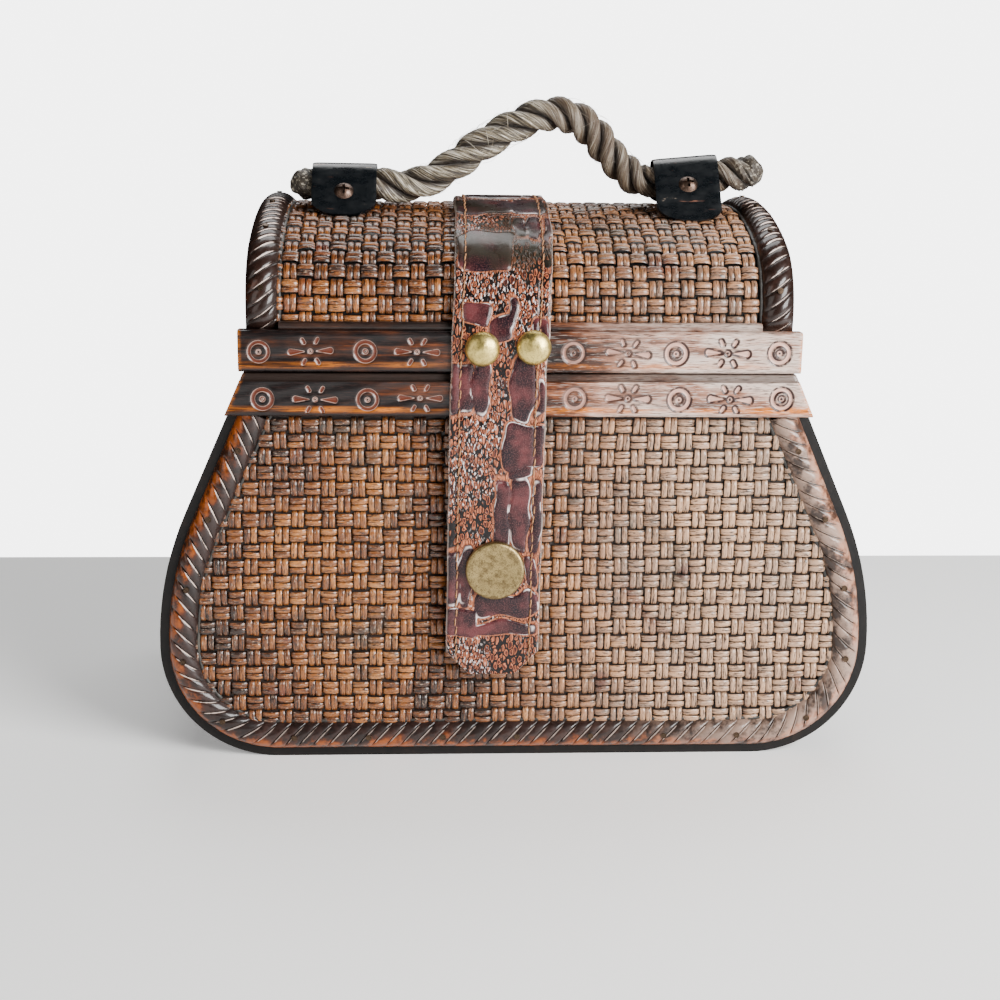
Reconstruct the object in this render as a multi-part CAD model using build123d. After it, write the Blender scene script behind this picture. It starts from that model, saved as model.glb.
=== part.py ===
from build123d import *
import os
from math import acos, atan2, copysign, cos, degrees, hypot, radians, sin, tan

# Wooden basket box bag: a flared body and a barrel-top lid of thin board, faced with woven cane,
# edged with half-round mouldings and stamped rails, with a rope handle and a leather closing strap.
# X runs along the bag's width, the front faces -Y, and Z is up. The origin is the centre of the
# flat base. Every size is in millimetres.

# ---- driving dimensions ------------------------------------------------------------------

# body outline, seen from the front
BAG_HALF_WIDTH = 117.0      # half of the widest place
BAG_DEPTH = 126.0           # front board to back board, outside
BODY_HEIGHT = 129.0         # base to rim
CORNER_RADIUS = 38.0        # bend between base and side
SIDE_RADIUS = 110.0         # bulge of the side above the corner
SIDE_FLARE = 24.1           # lean of the straight upper side, degrees from upright

# boards
BAND_THICK = 3.0            # bent strip that makes the sides and the base
PANEL_THICK = 3.0           # front and back boards
GLUE_LINE = 0.1             # between curved faces that are glued together
WEAVE_THICK = 1.9
WEAVE_MARGIN = 0.3          # between the cane and the mouldings and rails round it
LINING_THICK = 0.8
LINING_SET_BACK = 1.5       # below the rim

# half-round mouldings
MOULD_WIDTH = 9.5
MOULD_HEIGHT = 4.2
LID_MOULD_WIDTH = 10.5
LID_MOULD_HEIGHT = 4.2
BRAD_RADIUS = 0.65
BRAD_LENGTH = 5.8
BRAD_HEAD_RADIUS = 0.95
BRAD_HEAD_THICK = 0.4
BRAD_FIT = 0.05
BODY_BRADS = 17             # along each body moulding
LID_BRADS = 7               # along each lid moulding

# stamped rails
RAIL_PROUD = 6.0            # in front of the board
BODY_RAIL_HEIGHT = 13.5
LID_RAIL_HEIGHT = 13.0
RAIL_LIP_HEIGHT = 2.2       # rebate along the top of the body rails
RAIL_LIP_SET_BACK = 1.6
RAIL_ROUND = 1.2            # rounding of the long front edges
RAIL_END_PROUD = 0.5        # body rail's end, out past the side of the body
BEAD_HEIGHT = 2.6
BEAD_PROUD = 4.0
BEAD_ROUND = 1.2

# lid
SEAM = 0.5                  # between the two rims when shut
LID_INSET = 0.4             # lid's end, in from the body's rim
LID_SKIRT = 18.4            # straight part below the dome
LID_RISE = 30.8             # dome's height above the skirt, on the board
SHOULDER_RADIUS = 21.5
SHELL_THICK = 2.5
END_BOARD_THICK = 4.0
RAIL_OVERHANG = 2.1         # lid rail past the lid's end

# hinges
HINGE_SPACING = 110.0
LEAF_WIDTH = 24.0
LEAF_HEIGHT = 8.5           # from the pin's line to the leaf's edge
LEAF_THICK = 1.0
KNUCKLE_RADIUS = 2.0
KNUCKLE_GAP = 0.3           # between knuckles, and between knuckle and rail
PIN_RADIUS = 0.9
PIN_FIT = 0.05
PIN_HEAD = 0.8
PIN_HEAD_RADIUS = 1.5
KNUCKLE_LENGTH = 8.0        # middle knuckle
HINGE_SCREW_RADIUS = 1.0
HINGE_SCREW_HEAD = 1.9
HINGE_SCREW_LENGTH = 5.0
HINGE_SCREW_SPACING = 14.0
HINGE_SCREW_DROP = 5.6      # from the pin's line
HINGE_SLOT = 0.5
SCREW_FIT = 0.1

# leather strap
STRAP_X = -7.4
STRAP_WIDTH = 30.5
STRAP_THICK = 2.0
STRAP_GAP = 0.3             # off the cane and the rails
STRAP_FOOT = 0.7            # end of the upper strap, above the lid rail's lower edge
TAIL_GAP = 0.3              # between the upper strap and the hanging tail
TAIL_END = 31.0             # height of the tail's lower end
TAIL_CHAMFER = 7.5

# studs and snap
STUD_RADIUS = 5.5
STUD_DOME = 3.5
STUD_SPACING = 16.0
STUD_OFFSET = 2.8           # pair's middle, off the strap's middle
STUD_LEVEL = 0.62           # share of the lid rail's height
STUD_NAIL_RADIUS = 0.9
STUD_NAIL_LENGTH = 7.0
SNAP_HEIGHT = 66.3          # above the base
CAP_RADIUS = 9.5
CAP_THICK = 2.0
CAP_ROUND = 1.2
SNAP_POST_RADIUS = 2.0
SNAP_FIT = 0.1
PLUG_RADIUS = 8.5
PLUG_THICK = 1.3
BOSS_RADIUS = 4.0
BOSS_TIP = 1.5
BOSS_HEIGHT = 1.0
BOSS_FIT = 0.4
SOCKET_STEM_DEPTH = 2.0     # into the front board

# rope handle and its clamps
ROPE_RADIUS = 5.8
ROPE_Y = -15.0              # handle's line, in front of the lid's crown
# route of the rope: X, and the height of its underside above the crown's cane
ROPE_ROUTE = [(-76.0, -0.2), (-30.0, -0.6), (-4.0, 19.2), (20.0, 26.4), (39.5, 1.2), (85.0, 5.4)]
ROPE_BENDS = [38.0, 60.0, 17.0, 12.5]
CLAMP_X = 57.4
CLAMP_LENGTH = 21.5
CLAMP_THICK = 1.2
CLAMP_FIT = 0.25            # round the rope
CLAMP_LEG_RISE = 37.0       # direction that a leg faces, degrees above level
CLAMP_SEAT = 0.15           # off the cane
CLAMP_SPREAD = 11.6         # feet's outer edge, out from the rope's side
CLAMP_CORNER = 6.0
CLAMP_SCREW_CLEAR = 0.5     # between the rope and the screws that pass under it
CLAMP_SCREW_RADIUS = 1.5
CLAMP_SCREW_HEAD = 3.2
CLAMP_SCREW_HEAD_HEIGHT = 1.7
CLAMP_SCREW_LENGTH = 12.2
CLAMP_SCREW_STAGGER = 4.5   # back screw, outward from the front one
CROSS_ARM = 3.6
CROSS_WIDTH = 0.9
CROSS_DEPTH = 1.0

# ---- sizes that follow -------------------------------------------------------------------

HALF_DEPTH = BAG_DEPTH / 2
RAIL_FACE = HALF_DEPTH + RAIL_PROUD
WEAVE_FACE = HALF_DEPTH + WEAVE_THICK
STRAP_FACE = RAIL_FACE + STRAP_GAP
LID_FLOOR = BODY_HEIGHT + SEAM
SPRING = LID_FLOOR + LID_SKIRT
LID_RAIL_TOP = LID_FLOOR + LID_RAIL_HEIGHT
BEAD_TOP = LID_RAIL_TOP + BEAD_HEIGHT
RAIL_BOTTOM = BODY_HEIGHT - BODY_RAIL_HEIGHT
HINGE_Y = RAIL_FACE + KNUCKLE_GAP + KNUCKLE_RADIUS
HINGE_Z = BODY_HEIGHT + SEAM / 2
TAIL_TOP = LID_FLOOR + STRAP_FOOT - TAIL_GAP
SNAP_POST_END = PLUG_THICK / 2 - STRAP_FACE
CROWN_TOP = SPRING + LID_RISE + WEAVE_THICK
ROPE_POINTS = [(x, CROWN_TOP + rise + ROPE_RADIUS) for x, rise in ROPE_ROUTE]
CLAMP_FOOT = ROPE_RADIUS + CLAMP_SPREAD
CLAMP_SCREW_DROP = ROPE_RADIUS + CLAMP_SCREW_RADIUS + CLAMP_SCREW_CLEAR


def flare_point(inset):
    """Where the side's arc ends and its straight flare starts."""
    radius = SIDE_RADIUS - inset
    x = BAG_HALF_WIDTH - SIDE_RADIUS + radius * cos(radians(SIDE_FLARE))
    return x, CORNER_RADIUS + radius * sin(radians(SIDE_FLARE))


def half_width(z, inset=0.0):
    """Half width of the body on its straight upper flare."""
    x, start = flare_point(inset)
    return x - (z - start) * tan(radians(SIDE_FLARE))


LID_HALF = half_width(BODY_HEIGHT) - LID_INSET
RAIL_HALF = LID_HALF + RAIL_OVERHANG
WEAVE_HALF = LID_HALF - LID_MOULD_WIDTH - GLUE_LINE
CROWN_RADIUS = ((HALF_DEPTH - SHOULDER_RADIUS) ** 2 + LID_RISE ** 2 - SHOULDER_RADIUS ** 2) / (
    2 * (LID_RISE - SHOULDER_RADIUS))
CROWN_Z = SPRING + LID_RISE - CROWN_RADIUS


# ---- outlines ----------------------------------------------------------------------------

def body_edges(inset, top):
    """Right half of the body's outline, from the middle of the base up to the height top."""
    corner_x = BAG_HALF_WIDTH - CORNER_RADIUS
    side_x = BAG_HALF_WIDTH - SIDE_RADIUS
    radius = CORNER_RADIUS - inset
    flare = flare_point(inset)
    base = Line((0, inset), (corner_x, inset))
    corner = CenterArc((corner_x, CORNER_RADIUS), radius, -90, 90)
    side = CenterArc((side_x, CORNER_RADIUS), SIDE_RADIUS - inset, 0, SIDE_FLARE)
    upper = Line(flare, (half_width(top, inset), top))
    return [base, corner, side, upper]


def body_face(inset, top):
    """Closed body outline as a sketch in X and Z, flat along the height top."""
    half = body_edges(inset, top)
    edges = half + [edge.mirror(Plane.YZ) for edge in half]
    reach = half_width(top, inset)
    edges.append(Line((-reach, top), (reach, top)))
    return make_face(Wire(edges))


def upright(sketch):
    """Turn a sketch in X and Z to stand in the plane Y = 0."""
    return sketch.rotate(Axis.X, 90)


def slab(sketch, low_y, high_y):
    """Extrude an X-Z sketch between two depths."""
    face = upright(sketch).moved(Location((0, high_y, 0)))
    return extrude(face, amount=high_y - low_y, dir=(0, -1, 0))


def block(x, y, z):
    """Box between pairs of limits."""
    size = (x[1] - x[0], y[1] - y[0], z[1] - z[0])
    middle = ((x[0] + x[1]) / 2, (y[0] + y[1]) / 2, (z[0] + z[1]) / 2)
    return Box(*size).moved(Location(middle))


def back_copy(solid):
    """The same piece on the back of the bag."""
    return solid.mirror(Plane.XZ)


def other_end(solid):
    """The same piece at the other end of the bag."""
    return solid.mirror(Plane.YZ)


# ---- body --------------------------------------------------------------------------------

def side_band():
    shell = slab(body_face(0, BODY_HEIGHT), -HALF_DEPTH, HALF_DEPTH)
    hollow = slab(body_face(BAND_THICK, BODY_HEIGHT), -HALF_DEPTH, HALF_DEPTH)
    return shell - hollow


def panel():
    face = body_face(BAND_THICK + GLUE_LINE, BODY_HEIGHT)
    return slab(face, -HALF_DEPTH, -HALF_DEPTH + PANEL_THICK)


def panel_weave():
    inset = BAND_THICK + MOULD_WIDTH + WEAVE_MARGIN
    face = body_face(inset, RAIL_BOTTOM - WEAVE_MARGIN)
    return slab(face, -WEAVE_FACE, -HALF_DEPTH)


def half_round(width, height):
    """Section of a moulding: flat back on X, rounded front towards -Y."""
    radius = (width ** 2 / 4 + height ** 2) / (2 * height)
    disc = Circle(radius).moved(Location((0, radius - height)))
    return disc & Rectangle(width, height, align=(Align.CENTER, Align.MAX))


def swept_moulding(path, width, height, outward):
    """Half-round strip along a path, standing off it in the outward direction."""
    start = Plane(origin=path @ 0, x_dir=(path % 0).cross(outward), z_dir=path % 0)
    return sweep(start * half_round(width, height), path=path)


def body_mould_path(top=RAIL_BOTTOM):
    inset = BAND_THICK + MOULD_WIDTH / 2
    half = body_edges(inset, top)
    wire = Wire([edge.mirror(Plane.YZ) for edge in half] + half)
    return upright(wire).moved(Location((0, -HALF_DEPTH, 0)))


def body_moulding():
    """Moulding round the sides and base, its ends cut level under the rail."""
    path = body_mould_path(RAIL_BOTTOM + MOULD_WIDTH / 2)
    strip = swept_moulding(path, MOULD_WIDTH, MOULD_HEIGHT, Vector(0, -1, 0))
    return strip - block((-BAG_HALF_WIDTH, BAG_HALF_WIDTH), (-BAG_DEPTH, 0), (RAIL_BOTTOM, BODY_HEIGHT))


def straight_rail(bottom, top, low_half, high_half, lip):
    """Front rail as a trapezoid with rounded long edges, and a rebate along its top if lip is set."""
    corners = [(-low_half, bottom), (low_half, bottom), (high_half, top), (-high_half, top)]
    rail = slab(make_face(Polyline(corners, close=True)), -RAIL_FACE, -HALF_DEPTH)
    if lip:
        cut = ((-BAG_HALF_WIDTH, BAG_HALF_WIDTH), (-RAIL_FACE, RAIL_LIP_SET_BACK - RAIL_FACE))
        rail -= block(*cut, (top - RAIL_LIP_HEIGHT, top))
    front = rail.edges().filter_by(Axis.X).group_by(Axis.Y)[0]
    return fillet(front, RAIL_ROUND)


def body_rail():
    low_half = half_width(RAIL_BOTTOM) + RAIL_END_PROUD
    high_half = half_width(BODY_HEIGHT) + RAIL_END_PROUD
    return straight_rail(RAIL_BOTTOM, BODY_HEIGHT, low_half, high_half, lip=True)


def body_lining():
    outer = BAND_THICK + GLUE_LINE
    depth = HALF_DEPTH - PANEL_THICK - GLUE_LINE
    top = BODY_HEIGHT - LINING_SET_BACK
    shell = slab(body_face(outer, top), -depth, depth)
    hollow = slab(body_face(outer + LINING_THICK, top), LINING_THICK - depth, depth - LINING_THICK)
    return shell - hollow


# ---- lid ---------------------------------------------------------------------------------

def lid_edges(offset, floor):
    """Side view of the lid in Y and Z: skirts, two shoulder arcs and a crown arc, open below."""
    reach = HALF_DEPTH - SHOULDER_RADIUS
    angle = degrees(atan2(SPRING - CROWN_Z, reach))
    foot = HALF_DEPTH + offset
    right = [
        Line((foot, floor), (foot, SPRING)),
        CenterArc((reach, SPRING), SHOULDER_RADIUS + offset, 0, angle),
    ]
    crown = CenterArc((0, CROWN_Z), CROWN_RADIUS + offset, angle, 180 - 2 * angle)
    return right + [crown] + [edge.mirror(Plane.YZ) for edge in right]


def lid_face(offset, floor):
    """Closed side view of the lid, flat along the height floor."""
    foot = HALF_DEPTH + offset
    return make_face(Wire(lid_edges(offset, floor) + [Line((-foot, floor), (foot, floor))]))


def across(sketch, low_x, high_x):
    """Extrude a Y-Z sketch between two places on X."""
    face = Plane(origin=(low_x, 0, 0), x_dir=(0, 1, 0), z_dir=(1, 0, 0)) * sketch
    return extrude(face, amount=high_x - low_x, dir=(1, 0, 0))


def lid_layer(inner, outer, floor, half):
    """Bent sheet over the lid between two offsets from the board's outer face."""
    return across(lid_face(outer, floor), -half, half) - across(lid_face(inner, floor), -half, half)


def lid_shell():
    return lid_layer(-SHELL_THICK, 0, LID_FLOOR, LID_HALF)


def lid_end():
    face = lid_face(-SHELL_THICK - GLUE_LINE, LID_FLOOR)
    return across(face, LID_HALF - END_BOARD_THICK, LID_HALF)


def lid_weave():
    return lid_layer(GLUE_LINE, WEAVE_THICK, BEAD_TOP + WEAVE_MARGIN, WEAVE_HALF - WEAVE_MARGIN)


def lid_lining():
    outer = -SHELL_THICK - GLUE_LINE
    floor = LID_FLOOR + LINING_SET_BACK
    half = LID_HALF - END_BOARD_THICK - GLUE_LINE
    shell = across(lid_face(outer, floor), -half, half)
    inner = half - LINING_THICK
    return shell - across(lid_face(outer - LINING_THICK, floor), -inner, inner)


def lid_mould_path():
    wire = Wire(lid_edges(GLUE_LINE, LID_RAIL_TOP))
    x = LID_HALF - LID_MOULD_WIDTH / 2
    return Plane(origin=(x, 0, 0), x_dir=(0, 1, 0), z_dir=(1, 0, 0)) * wire


def lid_moulding():
    path = lid_mould_path()
    outward = Vector(0, copysign(1, (path @ 0).Y), 0)
    return swept_moulding(path, LID_MOULD_WIDTH, LID_MOULD_HEIGHT, outward)


def lid_rail():
    return straight_rail(LID_FLOOR, LID_RAIL_TOP, RAIL_HALF, RAIL_HALF, lip=False)


def lid_bead():
    depth = (-HALF_DEPTH - BEAD_PROUD, -HALF_DEPTH)
    bead = block((-WEAVE_HALF, WEAVE_HALF), depth, (LID_RAIL_TOP, BEAD_TOP))
    front = bead.edges().filter_by(Axis.X).group_by(Axis.Y)[0]
    return fillet(front, BEAD_ROUND)


# ---- brads -------------------------------------------------------------------------------

def brad(fit=0.0):
    """One brad along Z, its head resting on the plane Z = 0."""
    shank = Cylinder(BRAD_RADIUS + fit, BRAD_LENGTH, align=(Align.CENTER, Align.CENTER, Align.MAX))
    head = Cylinder(BRAD_HEAD_RADIUS, BRAD_HEAD_THICK, align=(Align.CENTER, Align.CENTER, Align.MIN))
    return shank if fit else shank + head


def brad_places(path, count, height, outward):
    """Evenly spaced places on a moulding's crest; outward gives the crest's direction at a tangent."""
    places = []
    for number in range(count):
        share = (number + 0.5) / count
        normal = outward(path % share)
        places.append(Plane(origin=(path @ share) + normal * height, z_dir=normal))
    return places


def body_brad_places():
    return brad_places(body_mould_path(), BODY_BRADS, MOULD_HEIGHT, lambda tangent: Vector(0, -1, 0))


def lid_brad_places():
    path = lid_mould_path()
    turn = Vector(-copysign(1, (path @ 0).Y), 0, 0)
    return brad_places(path, LID_BRADS, LID_MOULD_HEIGHT, turn.cross)


# ---- hinges ------------------------------------------------------------------------------

def hinge_screw(fit=0.0):
    """Countersunk screw along Z, its head flush with Z = 0."""
    head = Cone(HINGE_SCREW_RADIUS + fit, HINGE_SCREW_HEAD + fit, LEAF_THICK,
                align=(Align.CENTER, Align.CENTER, Align.MAX))
    shank = Cylinder(HINGE_SCREW_RADIUS + fit, HINGE_SCREW_LENGTH + fit,
                     align=(Align.CENTER, Align.CENTER, Align.MAX))
    slot = Box(2 * HINGE_SCREW_HEAD, HINGE_SLOT, LEAF_THICK)
    return head + shank if fit else head + shank - slot


def hinge_screw_places(side):
    """Planes of one hinge's screws; side is 1 for the lid's leaf and -1 for the body's."""
    y = RAIL_FACE + LEAF_THICK
    z = HINGE_Z + side * HINGE_SCREW_DROP
    reach = HINGE_SCREW_SPACING / 2
    return [Plane(origin=(x, y, z), x_dir=(1, 0, 0), z_dir=(0, 1, 0)) for x in (-reach, reach)]


def hinge_leaf(side, knuckles):
    """One leaf round the pin's line at X = 0, with its knuckles between the given limits on X."""
    back = -KNUCKLE_RADIUS - KNUCKLE_GAP
    sheet = (back, back + LEAF_THICK)
    near = KNUCKLE_RADIUS + KNUCKLE_GAP
    edges = sorted((side * near, side * LEAF_HEIGHT))
    leaf = block((-LEAF_WIDTH / 2, LEAF_WIDTH / 2), sheet, edges)
    for low, high in knuckles:
        leaf += block((low, high), sheet, sorted((0, side * near)))
        roll = Cylinder(KNUCKLE_RADIUS, high - low, rotation=(0, 90, 0))
        leaf += roll.moved(Location(((low + high) / 2, 0, 0)))
    leaf -= Cylinder(PIN_RADIUS + PIN_FIT, 2 * LEAF_WIDTH, rotation=(0, 90, 0))
    leaf = leaf.moved(Location((0, HINGE_Y, HINGE_Z)))
    return cut(leaf, [place * hinge_screw(SCREW_FIT) for place in hinge_screw_places(side)])


def hinge_pin():
    pin = Cylinder(PIN_RADIUS, LEAF_WIDTH, rotation=(0, 90, 0))
    for end in (-1, 1):
        head = Cylinder(PIN_HEAD_RADIUS, PIN_HEAD, rotation=(0, 90, 0))
        pin += head.moved(Location((end * (LEAF_WIDTH + PIN_HEAD) / 2, 0, 0)))
    return pin.moved(Location((0, HINGE_Y, HINGE_Z)))


def at_hinges(solid):
    """Copies of a piece made at X = 0, one at each hinge: left, then right."""
    return [solid.moved(Location((end * HINGE_SPACING / 2, 0, 0))) for end in (-1, 1)]


def leaf_screws(side, fit=0.0):
    """Screws, or their holes, of the leaves on one side of both hinges."""
    return [copy for place in hinge_screw_places(side) for copy in at_hinges(place * hinge_screw(fit))]


# ---- strap, studs and snap ---------------------------------------------------------------

def strap_face(gap):
    """Side view of the taut strap's line: up the rail, over its corner, and on over the dome."""
    reach = HALF_DEPTH - SHOULDER_RADIUS
    over = SHOULDER_RADIUS + WEAVE_THICK
    rise = LID_RAIL_TOP - SPRING
    run = RAIL_FACE - reach
    lean = atan2(rise, run) + acos(over / hypot(rise, run))
    normal = Vector(cos(lean), sin(lean))
    corner = Vector(RAIL_FACE, LID_RAIL_TOP)
    shoulder = Vector(reach, SPRING)
    top = degrees(atan2(SPRING - CROWN_Z, reach))
    bend = degrees(lean)
    foot = RAIL_FACE + gap
    right = [
        Line((foot, LID_FLOOR), (foot, LID_RAIL_TOP)),
        CenterArc(corner, gap, 0, bend),
        Line(corner + normal * gap, shoulder + normal * (over + gap)),
        CenterArc(shoulder, over + gap, bend, top - bend),
    ]
    crown = CenterArc((0, CROWN_Z), CROWN_RADIUS + WEAVE_THICK + gap, top, 180 - 2 * top)
    floor = Line((-foot, LID_FLOOR), (foot, LID_FLOOR))
    return make_face(Wire(right + [crown] + [edge.mirror(Plane.YZ) for edge in right] + [floor]))


def stud_places():
    """Planes of the front studs and then of the back ones, on the strap's outer face."""
    places = []
    z = LID_FLOOR + LID_RAIL_HEIGHT * STUD_LEVEL
    for side in (-1, 1):
        for step in (-STUD_SPACING / 2, STUD_SPACING / 2):
            x = STRAP_X + STUD_OFFSET + step
            places.append(Plane(origin=(x, side * (STRAP_FACE + STRAP_THICK), z), z_dir=(0, side, 0)))
    return places


def stud():
    """Domed nail along Z, its dome's rim on the plane Z = 0."""
    ball = (STUD_RADIUS ** 2 + STUD_DOME ** 2) / (2 * STUD_DOME)
    dome = Sphere(ball).moved(Location((0, 0, STUD_DOME - ball)))
    dome &= Cylinder(STUD_RADIUS, STUD_DOME, align=(Align.CENTER, Align.CENTER, Align.MIN))
    return dome + stud_nail()


def stud_nail(fit=0.0):
    length = STUD_NAIL_LENGTH + fit
    return Cylinder(STUD_NAIL_RADIUS + fit, length, align=(Align.CENTER, Align.CENTER, Align.MAX))


def upper_strap():
    sheet = strap_face(STRAP_GAP + STRAP_THICK) - strap_face(STRAP_GAP)
    low = STRAP_X - STRAP_WIDTH / 2
    strap = across(sheet, low, low + STRAP_WIDTH)
    below = block((-BAG_HALF_WIDTH, BAG_HALF_WIDTH), (-BAG_DEPTH, BAG_DEPTH), (0, LID_FLOOR + STRAP_FOOT))
    return cut(strap - below, [place * stud_nail(SCREW_FIT) for place in stud_places()])


def strap_tail():
    low = STRAP_X - STRAP_WIDTH / 2
    high = low + STRAP_WIDTH
    outline = Polyline(
        (low, TAIL_TOP), (low, TAIL_END + TAIL_CHAMFER), (low + TAIL_CHAMFER, TAIL_END),
        (high - TAIL_CHAMFER, TAIL_END), (high, TAIL_END + TAIL_CHAMFER), (high, TAIL_TOP), close=True)
    tail = slab(make_face(outline), -STRAP_FACE - STRAP_THICK, -STRAP_FACE)
    return tail - snap_rod(SNAP_POST_RADIUS + SNAP_FIT, -STRAP_FACE - STRAP_THICK, -STRAP_FACE)


def snap_rod(radius, low_y, high_y, tip_radius=None):
    """Round piece on the snap's line between two depths, tapered if it has a tip radius."""
    length = high_y - low_y
    rod = Cylinder(radius, length) if tip_radius is None else Cone(radius, tip_radius, length)
    middle = Location((STRAP_X, (low_y + high_y) / 2, SNAP_HEIGHT), (-90, 0, 0))
    return rod.moved(middle)


def snap_cap():
    outer = -STRAP_FACE - STRAP_THICK
    cap = snap_rod(CAP_RADIUS, outer - CAP_THICK, outer)
    cap = fillet(cap.edges().sort_by(Axis.Y)[0], CAP_ROUND)
    return cap + snap_rod(SNAP_POST_RADIUS, outer, SNAP_POST_END)


def snap_plug():
    face = PLUG_THICK - STRAP_FACE
    plug = snap_rod(PLUG_RADIUS, -STRAP_FACE, face)
    plug += snap_rod(BOSS_RADIUS, face, face + BOSS_HEIGHT, BOSS_TIP)
    return plug - snap_rod(SNAP_POST_RADIUS + SNAP_FIT, -STRAP_FACE, SNAP_POST_END + SNAP_FIT)


def snap_socket():
    face = PLUG_THICK - STRAP_FACE + STRAP_GAP
    socket = snap_rod(PLUG_RADIUS, face, -WEAVE_FACE)
    socket += snap_rod(SNAP_POST_RADIUS, -WEAVE_FACE, SOCKET_STEM_DEPTH - HALF_DEPTH)
    return socket - snap_rod(BOSS_RADIUS + BOSS_FIT, face, face + BOSS_HEIGHT, BOSS_TIP + BOSS_FIT)


def socket_hole():
    return snap_rod(SNAP_POST_RADIUS + SNAP_FIT, -WEAVE_FACE, SOCKET_STEM_DEPTH + SNAP_FIT - HALF_DEPTH)


# ---- rope and clamps ---------------------------------------------------------------------

def rope_path():
    points = [(x, ROPE_Y, z) for x, z in ROPE_POINTS]
    return FilletPolyline(*points, radius=ROPE_BENDS)


def rope_handle():
    path = rope_path()
    start = Plane(origin=path @ 0, z_dir=path % 0)
    rope = sweep(start * Circle(ROPE_RADIUS), path=path)
    section = Circle(ROPE_RADIUS).area
    print("rope radii", ROPE_BENDS, "length", round(path.length, 1))
    print("rope volume over section times length", round(rope.volume / section / path.length, 4))
    return rope


def clamp_frame(end):
    """Location of a clamp: origin on the rope's middle line, X along the rope. end is -1 or 1."""
    (x0, z0), (x1, z1) = ROPE_POINTS[:2] if end < 0 else ROPE_POINTS[-2:]
    slope = (z1 - z0) / (x1 - x0)
    x = end * CLAMP_X
    return Location((x, ROPE_Y, z0 + (x - x0) * slope), (0, -degrees(atan2(slope, 1)), 0))


def saddle_section(radius, drop):
    """Y-Z section: an arch whose straight legs leave it at a tangent and spread down to -drop."""
    rise = radians(CLAMP_LEG_RISE)
    top = (radius * cos(rise), radius * sin(rise))
    leg = (top[1] + drop) / cos(rise)
    foot = (top[0] + leg * sin(rise), -drop)
    arch = ThreePointArc(top, (0, radius), (-top[0], top[1]))
    legs = Polyline((-top[0], top[1]), (-foot[0], foot[1]), foot, top)
    return make_face(Wire(arch.edges() + legs.edges()))


def clamp_screw_places(end):
    """Planes of a clamp's front and back screws, on the outer face of its legs."""
    rise = radians(CLAMP_LEG_RISE)
    radius = ROPE_RADIUS + CLAMP_FIT + CLAMP_THICK
    y = radius * cos(rise) + CLAMP_SCREW_DROP * sin(rise)
    z = radius * sin(rise) - CLAMP_SCREW_DROP * cos(rise)
    front = Plane(origin=(0, -y, z), x_dir=(1, 0, 0), z_dir=(0, -cos(rise), sin(rise)))
    back = Plane(origin=(end * CLAMP_SCREW_STAGGER, y, z), x_dir=(1, 0, 0), z_dir=(0, cos(rise), sin(rise)))
    frame = clamp_frame(end)
    return [Plane(frame * face.location) for face in (front, back)]


def clamp_screw(fit=0.0):
    """Pan-head screw along Z, its head resting on the plane Z = 0."""
    length = CLAMP_SCREW_LENGTH + fit
    shank = Cylinder(CLAMP_SCREW_RADIUS + fit, length, align=(Align.CENTER, Align.CENTER, Align.MAX))
    if fit:
        return shank
    ball = (CLAMP_SCREW_HEAD ** 2 + CLAMP_SCREW_HEAD_HEIGHT ** 2) / (2 * CLAMP_SCREW_HEAD_HEIGHT)
    head = Sphere(ball).moved(Location((0, 0, CLAMP_SCREW_HEAD_HEIGHT - ball)))
    head &= Cylinder(CLAMP_SCREW_HEAD, CLAMP_SCREW_HEAD_HEIGHT,
                     align=(Align.CENTER, Align.CENTER, Align.MIN))
    cross = Box(CROSS_ARM, CROSS_WIDTH, 2 * CROSS_DEPTH) + Box(CROSS_WIDTH, CROSS_ARM, 2 * CROSS_DEPTH)
    return head + shank - cross.moved(Location((0, 0, CLAMP_SCREW_HEAD_HEIGHT)))


def clamp(end):
    inner = ROPE_RADIUS + CLAMP_FIT
    drop = 2 * inner
    bent = clamp_frame(end) * across(saddle_section(inner + CLAMP_THICK, drop), -CLAMP_LENGTH, CLAMP_LENGTH)
    seat = WEAVE_THICK + CLAMP_SEAT
    bent += lid_layer(seat, seat + CLAMP_THICK, LID_FLOOR, BAG_HALF_WIDTH)
    bent -= clamp_frame(end) * across(saddle_section(inner, drop), -CLAMP_LENGTH, CLAMP_LENGTH)
    bent -= across(lid_face(seat, LID_FLOOR), -BAG_HALF_WIDTH, BAG_HALF_WIDTH)
    plan = RectangleRounded(CLAMP_LENGTH, 2 * CLAMP_FOOT, CLAMP_CORNER)
    bent &= extrude(Location((end * CLAMP_X, ROPE_Y, 0)) * plan, amount=2 * BODY_HEIGHT)
    return cut(bent, [place * clamp_screw(SCREW_FIT) for place in clamp_screw_places(end)])


# ---- assembly ----------------------------------------------------------------------------

def cut(solid, tools):
    for tool in tools:
        solid -= tool
    return solid


def group(solids):
    return Compound([piece for solid in solids for piece in solid.solids()])


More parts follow.
